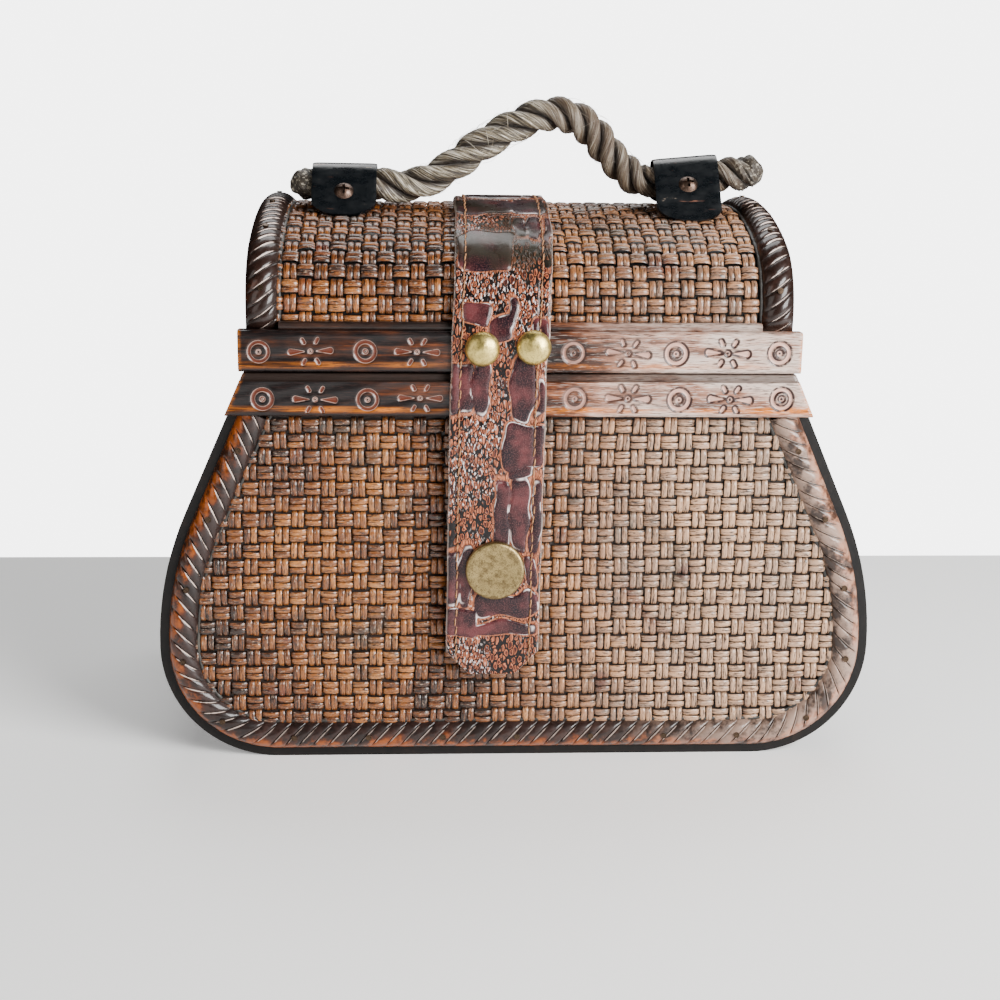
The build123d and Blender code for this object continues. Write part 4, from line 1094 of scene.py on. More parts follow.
def stamps(x, z, sizes, first, ring_first, seed):
    """Distance outside the pressed marks of a row of stamps, rings and flowers in turn."""
    rng = np.random.default_rng(seed)
    nearest = np.full(x.shape, UNSTAMPED * MM)
    count = int(2 * BAG_HALF_WIDTH / sizes.stamp_step) + 1
    for number in range(count):
        middle = first + number * sizes.stamp_step + rng.normal(0, 0.25) * MM
        lift, turn = rng.normal(0, 0.18) * MM, rng.normal(0, 0.03)
        blunt = rng.uniform(-0.06, 0.08) * MM
        dx, dz = x - middle, z - lift
        dx, dz = dx + turn * dz, dz - turn * dx
        stamp = ring_stamp if (number % 2 == 0) == ring_first else flower_stamp
        nearest = np.minimum(nearest, stamp(dx, dz, sizes.ring_radius) + blunt)
    return nearest


def rail_profile(bottom, top, rounding, lip, face_step):
    """Section of a rail from its back foot round the front to its back top: depth and height."""
    depth = RAIL_FACE - HALF_DEPTH
    low = [(0.0, bottom)]
    low += [(depth - rounding + rounding * math.sin(a), bottom + rounding - rounding * math.cos(a))
            for a in np.linspace(0, math.pi / 2, 5)]
    face_top = top - (lip[0] if lip else rounding)
    face = np.arange(bottom + rounding + face_step, face_top - face_step / 2, face_step)
    middle = [(depth, z) for z in face]
    if lip:
        back, soft = depth - lip[1], 0.3 * MM
        high = [(depth, face_top - soft), (depth - soft, face_top),
                (back + 0.1 * MM, face_top + 0.05 * MM), (back, face_top + soft),
                (back, top - soft), (back - soft, top), (0.0, top)]
    else:
        high = [(depth - rounding + rounding * math.cos(a), top - rounding + rounding * math.sin(a))
                for a in np.linspace(0, math.pi / 2, 5)]
        high.append((0.0, top))
    return np.array(low + middle + high)


def stamped_rail(sizes, bottom, top, low_half, high_half, lip, side, first, seed):
    """A rail with its stamps, as a shape. side is -1 on the front and 1 on the back."""
    step = FRONT_RAIL_STEP if side < 0 else BACK_RAIL_STEP
    proud = RAIL_FACE - HALF_DEPTH
    profile = rail_profile(bottom, top, RAIL_ROUNDING, lip, step)
    share = np.linspace(-1, 1, int(2 * max(low_half, high_half) / step))
    z = profile[:, 1][:, None] + 0 * share
    half = low_half + (high_half - low_half) * (z - bottom) / (top - bottom)
    x = half * share
    depth = profile[:, 0][:, None] + 0 * share
    face_top = top - (lip[0] if lip else 0)
    away = stamps(x, z - (bottom + face_top) / 2, sizes, first, True, seed)
    away = np.where(depth > proud - 0.01 * MM, away, UNSTAMPED * MM)
    pressed = 1 / (1 + np.exp(np.clip(away / (0.12 * MM), -30, 30)))
    uneven = waves(seed + 5, 6, 12 * MM, 70 * MM)(x, 4 * z)
    front = np.clip(depth / proud, 0, 1)
    edge = np.clip(1.3 - np.abs(z - bottom - 2.3 * MM) / MM, 0, 1) * front * (1.0 if lip else 0.4)
    nick = np.clip(waves(seed + 6, 7, 3 * MM, 16 * MM)(x, 0 * x) - 1.2, 0, 1)
    nick = nick * np.clip(1 - (z - bottom) / (2.0 * MM), 0, 1) * front
    ends = np.clip((np.abs(share) - 0.985) / 0.015, 0, 1)[None, :]
    worn = np.clip(edge * (0.9 + 0.5 * uneven) + 0.8 * ends * front, 0, 1)
    depth = depth + front * (0.10 * MM * uneven - 0.5 * MM * nick - 0.35 * MM * ends ** 2)
    depth = np.minimum(depth - sizes.stamp_depth * pressed, proud + 0.15 * MM)
    points = np.stack([x, side * (HALF_DEPTH + depth), z], axis=-1)
    # Painted shade: recess marks the rebate, which the finish darkens.
    recess = np.where((z > face_top - 0.1 * MM) & bool(lip), 1.0, 0.0)
    mark = np.stack([away / MM, recess, worn], axis=-1)
    shape = Shape()
    shape.add_grid(points, flip=side > 0, mark=mark)
    for column, turned in ((0, side < 0), (-1, side > 0)):
        rim = np.vstack([points[:, column], points[:1, column]])
        middle = np.broadcast_to(rim.mean(axis=0), rim.shape)
        # the ends get half the rebate's painted shade
        plain = np.tile((UNSTAMPED, 0.5, 0.0), (2, len(rim), 1))
        shape.add_grid(np.stack([rim, middle], axis=0), flip=turned, mark=plain)
    return shape


def bead_strip(side, seed):
    """The thin strip over a lid rail, between the lid's mouldings, as a shape."""
    reach = LID_HALF - LID_MOULD_WIDTH
    x = np.linspace(-reach, reach, 160)
    turn = np.linspace(0, math.pi / 2, 5)[1:]
    proud, soft = BEAD_HIGH.y - BEAD_LOW.y, 0.2 * MM
    depth = np.concatenate([[0, proud - soft, proud],
                            proud - BEAD_ROUNDING + BEAD_ROUNDING * np.cos(turn), [0]])
    height = np.concatenate([[BEAD_LOW.z, BEAD_LOW.z, BEAD_LOW.z + soft],
                             BEAD_TOP - BEAD_ROUNDING + BEAD_ROUNDING * np.sin(turn), [BEAD_TOP]])
    wobble = 0.12 * MM * waves(seed, 5, 12 * MM, 50 * MM)(x, 0 * x)
    y = side * (HALF_DEPTH + depth[:, None] + (depth > 0)[:, None] * wobble)
    points = np.stack([x + 0 * y, y, height[:, None] + 0 * x], axis=-1)
    shape = Shape()
    # the bead strip gets half the rebate's painted shade
    shape.add_grid(points, flip=side > 0, mark=np.broadcast_to((UNSTAMPED, 0.5, 0.0), points.shape))
    return shape


class BASKET_OT_rails(bpy.types.Operator):
    """Stamp the rails along both rims and the thin strips over the lid's rails"""
    bl_idname = "basket.rails"
    bl_label = "Stamped Rails"

    def execute(self, context):
        sizes = context.scene.basket_bag.rail
        finish = rail_finish(sizes)
        low, high = (float(half_width(z)) + RAIL_END_PROUD for z in (RAIL_BOTTOM, BODY_HEIGHT))
        wide = LID_RAIL_HIGH.x
        body_plan = (RAIL_BOTTOM, BODY_HEIGHT, low, high, BODY_RAIL_LIP)
        lid_plan = (LID_FLOOR, LID_RAIL_TOP, wide, wide, None)
        for node, body, plan, side, first, seed in (
                ("front_rail", "body", body_plan, -1, -81.0 * MM, 51),
                ("back_rail", "body", body_plan, 1, -81.0 * MM, 52),
                ("lid_front_rail", "lid", lid_plan, -1, -82.0 * MM, 53),
                ("lid_back_rail", "lid", lid_plan, 1, -82.0 * MM, 54)):
            shape = stamped_rail(sizes, *plan, side, first, seed)
            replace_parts(shape.make(node + "_stamped", finish, body, "rail"), node)
        for node, side, seed in (("lid_front_bead", -1, 55), ("lid_back_bead", 1, 56)):
            shape = bead_strip(side, seed)
            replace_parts(shape.make(node + "_strip", finish, "lid", "rail"), node)
        return {"FINISHED"}


# ---- leather strap -----------------------------------------------------------------------

# large smooth scales: place along the strap from its tip, place across it, half length, half width
PLATES = [
    (15.5, 3.7, 2.2, 10.0), (17.0, -10.2, 5.0, 5.0), (23.6, 4.3, 4.4, 9.2),
    (32.0, -13.2, 9.5, 2.1), (32.5, -9.2, 10.0, 1.7), (34.5, 11.6, 5.8, 2.2),
    (53.0, 2.0, 12.0, 2.4), (53.5, 7.8, 12.5, 2.8), (53.0, 13.0, 12.0, 1.6),
    (67.3, 8.0, 1.6, 3.4), (75.8, 8.5, 7.2, 6.0), (94.0, 7.8, 9.6, 3.4), (91.5, 13.4, 6.0, 1.3),
    (94.0, -11.6, 8.4, 3.4), (94.0, -5.4, 8.4, 2.3), (112.5, 0.2, 3.4, 3.0),
    (117.0, -8.0, 3.8, 4.3), (117.0, 3.0, 5.0, 1.3), (112.0, 12.4, 4.0, 2.4),
    (139.0, -5.6, 8.5, 7.6), (152.0, 5.0, 7.5, 2.0), (152.5, 9.6, 8.0, 2.1),
    (151.0, 13.9, 9.0, 1.2), (172.0, -6.0, 8.0, 8.5), (172.0, 8.5, 8.5, 5.0),
    (196.0, -2.0, 10.0, 9.0), (199.0, 11.0, 9.0, 3.0), (222.0, 7.0, 12.0, 6.0),
    (226.0, -10.0, 11.0, 4.0), (252.0, -4.0, 9.0, 9.0), (258.0, 10.0, 10.0, 3.6),
    (280.0, 3.0, 8.0, 8.0), (284.0, -10.5, 8.0, 3.5),
]
TAIL_CHAMFER = 7.5 * MM
STRAP_STEP = 0.5 * MM           # between the rows of its points
STRAP_COLUMNS = 57
TAIL_LEFT = 1.4 * MM            # of the tail's tip
CROWN_RIGHT = 2.6 * MM          # of the strap where it lies over the crown
CROWN_WIDER = 0.035             # share that the leather spreads by over the crown
THREAD_RADIUS = 0.24 * MM
PLATE_RISE, PLATE_GROOVE = 0.26 * MM, 0.30 * MM


def plate_depth(along, across):
    """How far inside a large scale each place is, in millimetres; below nought it is outside."""
    bend = waves(61, 6, 6 * MM, 16 * MM)
    shift = 0.9 * bend(along, across)
    best = np.full(np.shape(along), -9.0)
    for middle, side, long, wide in PLATES:
        dx = np.abs(along / MM - middle + shift) / (1.08 * long)
        dy = np.abs(across / MM - side + shift * 0.6) / (1.14 * wide)
        round_box = (dx ** 4.5 + dy ** 4.5) ** (1 / 4.5)
        best = np.maximum(best, (1 - round_box) * min(long, wide))
    return best


def strap_place(line, along, across, height):
    """Points of the strap at lengths along it, places across it and heights over its inner face."""
    points, normals = line.at(along)
    yz = points + normals * height[..., None]
    low = np.clip((130.0 * MM - yz[..., 1]) / (100.0 * MM), 0, 1) * (along < 110 * MM)
    high = np.clip((yz[..., 1] - 130.0 * MM) / (52.0 * MM), 0, 1)
    x = STRAP_X - TAIL_LEFT * low + CROWN_RIGHT * high + across * (1 + CROWN_WIDER * high)
    return np.stack([x, yz[..., 0], yz[..., 1]], axis=-1)


class BASKET_OT_strap(bpy.types.Operator):
    """Cut, emboss and stitch the leather closing strap"""
    bl_idname = "basket.strap"
    bl_label = "Leather Strap"

    def execute(self, context):
        sizes = context.scene.basket_bag.leather
        line = strap_line(STRAP_STEP)
        half = STRAP_WIDTH / 2
        rows = int(line.length / STRAP_STEP)
        along = np.linspace(0, line.length, rows)[:, None] + np.zeros(STRAP_COLUMNS)
        share = np.linspace(-1, 1, STRAP_COLUMNS)[None, :]
        chamfer = np.clip((TAIL_CHAMFER - along) / TAIL_CHAMFER, 0, 1) * TAIL_CHAMFER
        ragged = 0.12 * MM * waves(62, 6, 3 * MM, 20 * MM)(along, 0 * along)
        across = share * (half - chamfer + ragged - 0.15 * MM)
        plate = plate_depth(along, across)
        swell = PLATE_RISE * np.tanh(2.2 * np.clip(plate, -0.5, 0.9))
        swell = swell - PLATE_GROOVE * ridge(plate + 0.05, 0.32)
        edge = np.clip((np.abs(share) - 0.95) / 0.05, 0, 1) ** 2
        groove = 0.35 * MM * ridge(np.abs(across) - (half - sizes.stitch_inset), 0.7 * MM)
        height = STRAP_THICK - 0.35 * MM + swell - groove - 0.5 * MM * edge
        skin = np.stack([along, across, plate], axis=-1)
        outer = strap_place(line, along, across, height)
        inner = strap_place(line, along, across, 0 * height)
        cut = np.clip((np.abs(share) - 0.972) / 0.028, 0, 1) + 0 * along
        shape = Shape()
        shape.add_grid(outer, skin=skin, cut=cut * 0.6)
        shape.add_grid(inner[:, ::4], flip=True, skin=skin[:, ::4] + (0.0, 0.0, 9.0), cut=0.85)
        for edges in (lambda grid, k: grid[:, k], lambda grid, k: grid[k]):
            for k, flip in ((0, False), (-1, True)):
                wall = np.stack([edges(outer, k), edges(inner, k)])
                shape.add_grid(wall, flip=flip, skin=np.stack([edges(skin, k)] * 2), cut=1.0)
        strap = shape.make("leather_strap", leather_finish(sizes), slot="leather")
        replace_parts(strap, "strap", "strap_tail")
        thread = self.stitches(line, sizes, half)
        for piece in (strap, thread):
            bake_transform(piece)
        return {"FINISHED"}

    def stitches(self, line, sizes, half):
        """Two rows of stitches, each stitch a short thread that dips into its holes."""
        rng = np.random.default_rng(63)
        shape = Shape()
        count = int((line.length - TAIL_CHAMFER) / sizes.stitch)
        bow = np.linspace(-1, 1, 6)
        for side in (-1, 1):
            for number in range(count):
                middle = TAIL_CHAMFER / 2 + (number + 0.5) * sizes.stitch + rng.normal(0, 0.1) * MM
                along = middle + bow * sizes.stitch * 0.46
                across = side * (half - sizes.stitch_inset) + rng.normal(0, 0.12) * MM
                across = across + bow * rng.normal(0.1, 0.08) * MM
                height = STRAP_THICK - 0.62 * MM + 0.42 * MM * (1 - bow ** 4)
                points = strap_place(line, along, across, height)
                tube(shape, points, THREAD_RADIUS * (1.12 - 0.5 * bow ** 4), sides=6)
        return shape.make("strap_stitching", thread_finish(sizes), slot="leather")


# ---- studs, snap, clamps and hinges ------------------------------------------------------

STUD_SINK = 0.35 * MM           # of a stud's rim into the leather
STUD_DENT = 0.05 * MM
STUD_STAGGER = 0.25 * MM        # the right-hand stud sits higher, the left-hand one lower
CAP_ROUNDING = 1.1 * MM
CAP_SWELL = 0.25 * MM
CAP_DENT = 0.04 * MM
CAP_LEFT = 0.6 * MM             # of the strap's middle
SADDLE_ROWS, SADDLE_COLUMNS = 31, 73
FOOT_CORNER = 6.0 * MM
LONGEST_LEG = 24.0 * MM         # the cane cuts the legs off


def facing(place, side):
    """Frame for a turned piece on an upright face; side is -1 on the front and 1 on the back."""
    def at(x, y, height):
        return np.stack([place[0] - side * x, place[1] + side * height, place[2] + y], axis=-1)
    return at


class BASKET_OT_studs(bpy.types.Operator):
    """Turn the strap's brass studs and the snap's cap"""
    bl_idname = "basket.studs"
    bl_label = "Studs and Snap"

    def execute(self, context):
        metal = context.scene.basket_bag.metal
        brass = metal_finish("polished brass", metal.brass, (0.30, 0.21, 0.07), (0.30, 0.46), 0.55,
                             240.0)
        shape = Shape()
        z = (STUDS_LOW.z + STUDS_HIGH.z) / 2
        x_middle = (STUDS_LOW.x + STUDS_HIGH.x) / 2
        radius = (STUDS_HIGH.z - STUDS_LOW.z) / 2
        seat = STRAP_FACE + STRAP_THICK
        dome = STUDS_HIGH.y - seat
        ball = [(radius * math.cos(a), (dome + 0.3 * MM) * math.sin(a) ** 0.9)
                for a in np.linspace(0, math.pi / 2, 14)[1:]]
        profile = [(0.96 * radius, -0.1 * MM), (radius, 0.15 * MM)] + ball
        for number, (side, step) in enumerate(((-1, -1), (-1, 1), (1, -1), (1, 1))):
            place = (x_middle + step * STUD_SPACING / 2, side * (seat - STUD_SINK),
                     z + step * STUD_STAGGER)
            dents = waves(71 + number, 6, 2.5 * MM, 8 * MM)
            lathe(shape, profile, facing(place, side), 40,
                  lambda x, y: STUD_DENT * dents(x, y) * (np.hypot(x, y) < 0.9 * radius))
        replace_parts(shape.make("brass_studs", brass, "lid", "brass"), "strap_studs")
        old = metal_finish("old brass", metal.old_brass, (0.085, 0.055, 0.030), (0.34, 0.52), 0.8,
                           620.0)
        cap_radius = (CAP_HIGH.z - CAP_LOW.z) / 2
        thick = -STRAP_FACE - STRAP_THICK - CAP_LOW.y
        profile = cap_profile(cap_radius, thick, CAP_ROUNDING, CAP_SWELL)
        dents = waves(75, 8, 3 * MM, 12 * MM)
        shape = Shape()
        place = (STRAP_X - CAP_LEFT, -STRAP_FACE - STRAP_THICK, SNAP_HEIGHT)
        lathe(shape, profile, facing(place, -1), 64,
              lambda x, y: CAP_DENT * dents(x, y) * (np.hypot(x, y) < 0.85 * cap_radius))
        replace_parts(shape.make("snap_cap_aged", old, "strap_tail", "old_brass"), "snap_cap")
        for node in ("snap_plug", "snap_socket"):
            dress(node, old)
        for side in ("left", "right"):
            for part in ("hinge_pin", "lid_hinge_leaf", "body_hinge_leaf"):
                dress(f"{part}_{side}", old)
        return {"FINISHED"}


def dress(node, material):
    """Give a frame piece its material."""
    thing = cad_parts[node]
    for slot in thing.material_slots:
        slot.material = material
    return thing


def clamp_line(x, end, rounded_by):
    """A clamp's outer line in Y and Z, from its front foot over the rope to its back one."""
    (x0, z0), (x1, z1) = ROPE_ROUTE[:2] if end < 0 else ROPE_ROUTE[-2:]
    rope_z = CROWN_TOP + ROPE_RADIUS + (z0 + (x / MM - x0) * (z1 - z0) / (x1 - x0)) * MM
    radius = ROPE_RADIUS + CLAMP_FIT + CLAMP_THICK
    seat = CROWN_RADIUS + WEAVE_THICK + CLAMP_SEAT
    over = arc((ROPE_Y, rope_z), radius, CLAMP_LEG_RISE, math.pi - CLAMP_LEG_RISE, 30)
    legs = []
    for side, start in ((1, over[0]), (-1, over[-1])):
        leg = np.linspace(0, LONGEST_LEG, 200)[1:, None]
        leg = start + leg * (side * math.sin(CLAMP_LEG_RISE), -math.cos(CLAMP_LEG_RISE))
        legs.append(leg[np.hypot(leg[:, 0], leg[:, 1] - CROWN_Z) > seat])
    line = Line(np.vstack([legs[1][::-1], over[::-1], legs[0]]), 0.1 * MM)
    soft = line.at(np.linspace(rounded_by, line.length - rounded_by, SADDLE_COLUMNS))[0]
    for _ in range(3):
        soft[1:-1] = (soft[:-2] + soft[1:-1] + soft[2:]) / 3
    return soft


def clamp_saddle(end):
    """A clamp bent over the rope, its feet's corners rounded off."""
    rows = np.sin(np.linspace(-math.pi / 2, math.pi / 2, SADDLE_ROWS))
    outer, inner = [], []
    for row in rows:
        x = end * CLAMP_X + row * CLAMP_HALF
        corner = np.clip((abs(row) - 0.15) / 0.85, 0, 0.997)
        places = clamp_line(x, end, FOOT_CORNER * (1 - math.sqrt(1 - corner ** 2)))
        run = directions(places)
        normal = np.stack([-run[:, 1], run[:, 0]], axis=1)
        shave = 0.25 * MM * abs(row) ** 12
        outer.append(np.insert(places - normal * shave, 0, x, axis=1))
        inner.append(np.insert(places - normal * CLAMP_THICK, 0, x, axis=1))
    outer, inner = np.array(outer), np.array(inner)
    shape = Shape()
    shape.add_grid(outer, flip=True)
    shape.add_grid(inner)
    for edge, flip in ((0, False), (-1, True)):
        shape.add_grid(np.stack([outer[edge], inner[edge]]), flip=flip)
        shape.add_grid(np.stack([outer[:, edge], inner[:, edge]]), flip=not flip)
    return shape


class BASKET_OT_clamps(bpy.types.Operator):
    """Paint the rope's clamps and age the screws and brads"""
    bl_idname = "basket.clamps"
    bl_label = "Clamps and Screws"

    def execute(self, context):
        metal = context.scene.basket_bag.metal
        paint = paint_finish(metal)
        screw = metal_finish("bronzed screw", metal.screw, (0.03, 0.018, 0.012), (0.28, 0.5), 0.6,
                             420.0)
        for name, end in (("clamp_left", -1), ("clamp_right", 1)):
            clamp = clamp_saddle(end).make(name + "_painted", paint, "lid", "black_steel")
            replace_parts(clamp, name)
        for node in ("clamp_screws", "lid_hinge_screws", "body_hinge_screws"):
            softened(dress(node, screw), 0.15 * MM)
        nail = metal_finish("dark brad", (0.09, 0.06, 0.04), (0.01, 0.008, 0.006), (0.3, 0.55), 0.6,
                            500.0)
        for node in ("body_moulding_brads", "lid_moulding_brads"):
            dress(node, nail)
        return {"FINISHED"}


class BASKET_OT_boards(bpy.types.Operator):
    """Stain the bent band, the boards and the lid's ends"""
    bl_idname = "basket.boards"
    bl_label = "Band and Boards"

    def execute(self, context):
        band = band_finish()
        board = board_finish()
        softened(dress("side_band", band), 0.6 * MM)
        for node in ("lid_end_left", "lid_end_right", "lid_shell"):
            softened(dress(node, band), 0.4 * MM)
        for node in ("front_panel", "back_panel"):
            dress(node, board)
        return {"FINISHED"}


# ---- lining ------------------------------------------------------------------------------

LINING_STEP = 2.5 * MM
LINING_PUCKER = 0.35 * MM
LINING_OFF = 0.1 * MM           # from the wall behind it


def cloth_wall(shape, corners, along, across, seed):
    """Add a grid of cloth with soft puckers; corners(u, v) gives places and inward normals."""
    u, v = np.meshgrid(along, across, indexing="ij")
    points, normals = corners(u, v)
    pucker = LINING_PUCKER * waves(seed, 7, 10 * MM, 45 * MM)(u, v)
    places = points + normals * (np.abs(pucker) + LINING_OFF)[..., None]
    shape.add_grid(places, weave=np.stack([u, v, 0 * u], axis=-1))


class BASKET_OT_lining(bpy.types.Operator):
    """Glue the cotton lining into the body and the lid"""
    bl_idname = "basket.lining"
    bl_label = "Lining"

    def execute(self, context):
        finish = cloth_finish()
        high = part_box("body_lining")[1]
        top, depth = high.z, high.y
        inset = BAND_THICK + 0.2 * MM
        wall = body_line(inset, top, LINING_STEP)
        shape = Shape()

        def side(u, v):
            place, normal = wall.at(u)
            points = np.stack([place[..., 0], v, place[..., 1]], axis=-1)
            return points, np.stack([normal[..., 0], 0 * v, normal[..., 1]], axis=-1)
        cloth_wall(shape, side, wall.s, np.linspace(-depth, depth, 48), 81)
        for face in (-1, 1):
            def panel(u, v, face=face):
                z = inset + v * (top - inset)
                points = np.stack([u * half_width(z, inset), face * depth + 0 * u, z], axis=-1)
                return points, np.stack([0 * u, -face + 0 * u, 0 * u], axis=-1)
            cloth_wall(shape, panel, np.linspace(-1, 1, 80), np.linspace(0, 1, 50), 82 + face)
        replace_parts(shape.make("body_lining_cloth", finish, "body", "lining"), "body_lining")
        low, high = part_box("lid_lining")
        offset = high.y - HALF_DEPTH
        over = lid_line(offset - 0.05 * MM, low.z, LINING_STEP)
        shape = Shape()

        def crown(u, v):
            place, normal = over.at(u)
            points = np.stack([v, place[..., 0], place[..., 1]], axis=-1)
            return points, -np.stack([0 * v, normal[..., 0], normal[..., 1]], axis=-1)
        cloth_wall(shape, crown, over.s, np.linspace(low.x, high.x, 60), 85)
        for end in (-1, 1):
            def cheek(u, v, end=end):
                place = over.at(u)[0]
                z = low.z + (place[..., 1] - low.z) * v
                y = place[..., 0] * (0.02 + 0.98 * v)
                points = np.stack([end * high.x + 0 * u, y, z], axis=-1)
                return points, np.stack([-end + 0 * u, 0 * u, 0 * u], axis=-1)
            cloth_wall(shape, cheek, over.s, np.linspace(0, 1, 30), 86 + end)
        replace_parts(shape.make("lid_lining_cloth", finish, "lid", "lining"), "lid_lining")
        return {"FINISHED"}


# ---- rope handle -------------------------------------------------------------------------

STRAND_OUT = 3.05 * MM          # from the rope's middle line to a strand's
STRAND_RADIUS = 2.85 * MM
STRAND_SQUEEZE = 0.15 * MM      # of both, inside a clamp
STRAND_SIDES = 26
STRAND_FLAT, STRAND_WIDE = 0.97, 1.04   # a strand's depth and width, as shares
YARN_LAY = 5.2 * MM             # from yarn to yarn along a strand
MELTED_LENGTH = 8.0 * MM        # of the rope's fused ends
FIBRE_RADIUS = 0.07 * MM
FIBRE_COUNT = 130
FIBRE_SIDES, FIBRE_POINTS = 3, 7
CHAFED_X, CHAFED_HALF = -13.0 * MM, 7.0 * MM


def rope_route():
    """Points along the handle's middle line, read from its smooth spline."""
    curve = bpy.data.curves.new("rope route", "CURVE")
    curve.dimensions = "3D"
    curve.resolution_u = 24
    spline = curve.splines.new("NURBS")
    spline.points.add(len(ROPE_ROUTE) - 1)
    for point, (x, rise) in zip(spline.points, ROPE_ROUTE):
        point.co = (x * MM, ROPE_Y, CROWN_TOP + rise * MM + ROPE_RADIUS, 1.0)
    spline.order_u = 3
    spline.use_endpoint_u = True
    holder = bpy.data.objects.new("rope route", curve)
    mesh = bpy.data.meshes.new_from_object(holder)
    places = np.array([vertex.co[:] for vertex in mesh.vertices])
    bpy.data.objects.remove(holder)
    bpy.data.meshes.remove(mesh)
    bpy.data.curves.remove(curve)
    return places


def evenly(points, step):
    """Points of a line spaced evenly along it, and their lengths along it."""
    runs = np.append(0, np.cumsum(np.linalg.norm(np.diff(points, axis=0), axis=1)))
    s = np.linspace(0, runs[-1], int(runs[-1] / step) + 1)
    return np.stack([np.interp(s, runs, points[:, k]) for k in range(3)], axis=1), s


class BASKET_OT_rope(bpy.types.Operator):
    """Lay the strands of the rope handle, with fused ends and loose fibres"""
    bl_idname = "basket.rope"
    bl_label = "Rope Handle"

    def execute(self, context):
        sizes = context.scene.basket_bag.rope
        finish = rope_finish(sizes)
        middle, s = evenly(rope_route(), 0.7 * MM)
        tangents = directions(middle)
        side = np.tile((0.0, 1.0, 0.0), (len(s), 1))
        up = np.cross(tangents, side)
        end = np.minimum(s, s[-1] - s)
        closing = np.sqrt(np.clip(end / (4.5 * MM), 0, 1))
        melt = np.clip(1.4 - end / MELTED_LENGTH, 0, 1)
        fused = np.clip(1.6 - end / MELTED_LENGTH, 0, 1)[:, None]
        pace = np.interp(s / s[-1], (0.42, 0.62), (1 / 1.28, 1 / 0.82)) / sizes.lead
        laid = 2 * math.pi * np.append(0.0, np.cumsum((pace[1:] + pace[:-1]) / 2 * np.diff(s)))
        held = np.clip(1 - np.abs(np.abs(middle[:, 0]) - CLAMP_X) / (CLAMP_HALF + 2 * MM), 0, 1)
        squeeze = STRAND_SQUEEZE * np.clip(held * 6, 0, 1)
        lumps = waves(91, 6, 9 * MM, 30 * MM)
        shape = Shape()
        turn = np.linspace(0, 2 * math.pi, STRAND_SIDES, endpoint=False)
        reach = (STRAND_OUT - squeeze) * (0.25 + 0.75 * closing) * (1 - 0.55 * melt)
        yarns = np.cos(turn * 9 - s[:, None] * 2 * math.pi / YARN_LAY)
        # Painted shade: darker on the side of each strand that faces the rope's middle, in the
        # valleys between strands.
        deep = np.clip((0.52 - np.cos(turn)) * 1.3, 0, 0.95) + 0 * s[:, None]
        for strand in range(sizes.strands):
            swing = laid + 2 * math.pi * strand / sizes.strands + 0.15 * lumps(s, 0.02 * s)
            out = np.cos(swing)[:, None] * side + np.sin(swing)[:, None] * up
            around = np.cross(tangents, out)
            thick = STRAND_RADIUS - squeeze + (0.16 * lumps(s, strand + 0 * s) + 1.25 * melt) * MM
            radius = (thick * np.maximum(closing, 0.05))[:, None] * (1 + 0.028 * yarns)
            lump = 0.45 * MM * waves(95 + strand, 6, 2.5 * MM, 6 * MM)(s[:, None], turn * 3 * MM)
            high = radius * STRAND_FLAT * np.cos(turn) + reach[:, None] + lump * fused
            wide = radius * STRAND_WIDE * np.sin(turn)
            ring = middle[:, None] + high[..., None] * out[:, None]
            ring = ring + wide[..., None] * around[:, None]
            spiral = np.abs(np.mod(turn * 0.5 - s[:, None] * 75.0, 2 * math.pi) - math.pi)
            fibre = np.stack([s[:, None] + 0 * turn, spiral, strand * 3.7 + 0 * spiral], axis=-1)
            shape.add_grid(ring, closed=True, fibre=fibre, deep=deep,
                           fused=0.92 * fused ** 0.7 + 0 * turn)
        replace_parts(shape.make("rope_strands", finish, "lid", "rope"), "rope_handle")
        self.fuzz(finish, middle, tangents, side, up)
        return {"FINISHED"}

    def fuzz(self, finish, middle, tangents, side, up):
        """Loose fibres that stand off the strands, most of them where the rope is chafed."""
        rng = np.random.default_rng(97)
        shape = Shape()
        free = np.abs(np.abs(middle[:, 0]) - CLAMP_X) > CLAMP_HALF + 2 * MM
        free &= np.abs(middle[:, 0]) < 70 * MM
        places = np.flatnonzero(free)
        chafed = places[np.abs(middle[places, 0] - CHAFED_X) < CHAFED_HALF]
        steps = np.linspace(0, 1, FIBRE_POINTS)
        for number in range(FIBRE_COUNT):
            start = rng.choice(chafed if number % 3 == 0 else places)
            angle = rng.uniform(0, 2 * math.pi)
            run = rng.uniform(3, 9) * MM
            lean = rng.normal(0, 0.8)
            lift = rng.uniform(0.1, 1.3) * MM
            turn = angle + steps * rng.normal(0, 0.9)
            out = np.cos(turn)[:, None] * side[start] + np.sin(turn)[:, None] * up[start]
            height = ROPE_RADIUS * 0.93 + lift * np.sin(steps * math.pi * rng.uniform(0.5, 1.0))
            ahead = tangents[start] * (steps * run * math.cos(lean))[:, None]
            line = middle[start] + ahead + out * height[:, None]
            tone = (0.3, rng.uniform(0, 3), rng.uniform(0, 9))
            tone = np.tile(tone, ((FIBRE_POINTS + 2) * FIBRE_SIDES, 1))
            tube(shape, line, FIBRE_RADIUS * (1.1 - 0.6 * steps), FIBRE_SIDES, fibre=tone, deep=0.0,
                 fused=0.0)
        shape.make("rope_loose_fibres", finish, "lid", "rope")


# ---- stage -------------------------------------------------------------------------------

CAMERA_PLACE = (-29.1 * MM, -535.6 * MM, 194.3 * MM)
CAMERA_YAW = math.radians(-2.77)
CAMERA_PITCH = math.radians(-12.73)
CAMERA_ROLL = math.radians(0.61)


LIGHTS_AIM = (0.0, 0.0, 0.09)
FLOOR_REACH = 1.6
FLOOR_BACK = 0.195              # the floor ends here, behind the bag
WALL_STRENGTH = 6.6             # of the backdrop that the camera sees
FILL_STRENGTH = 0.22            # of the soft light from all round


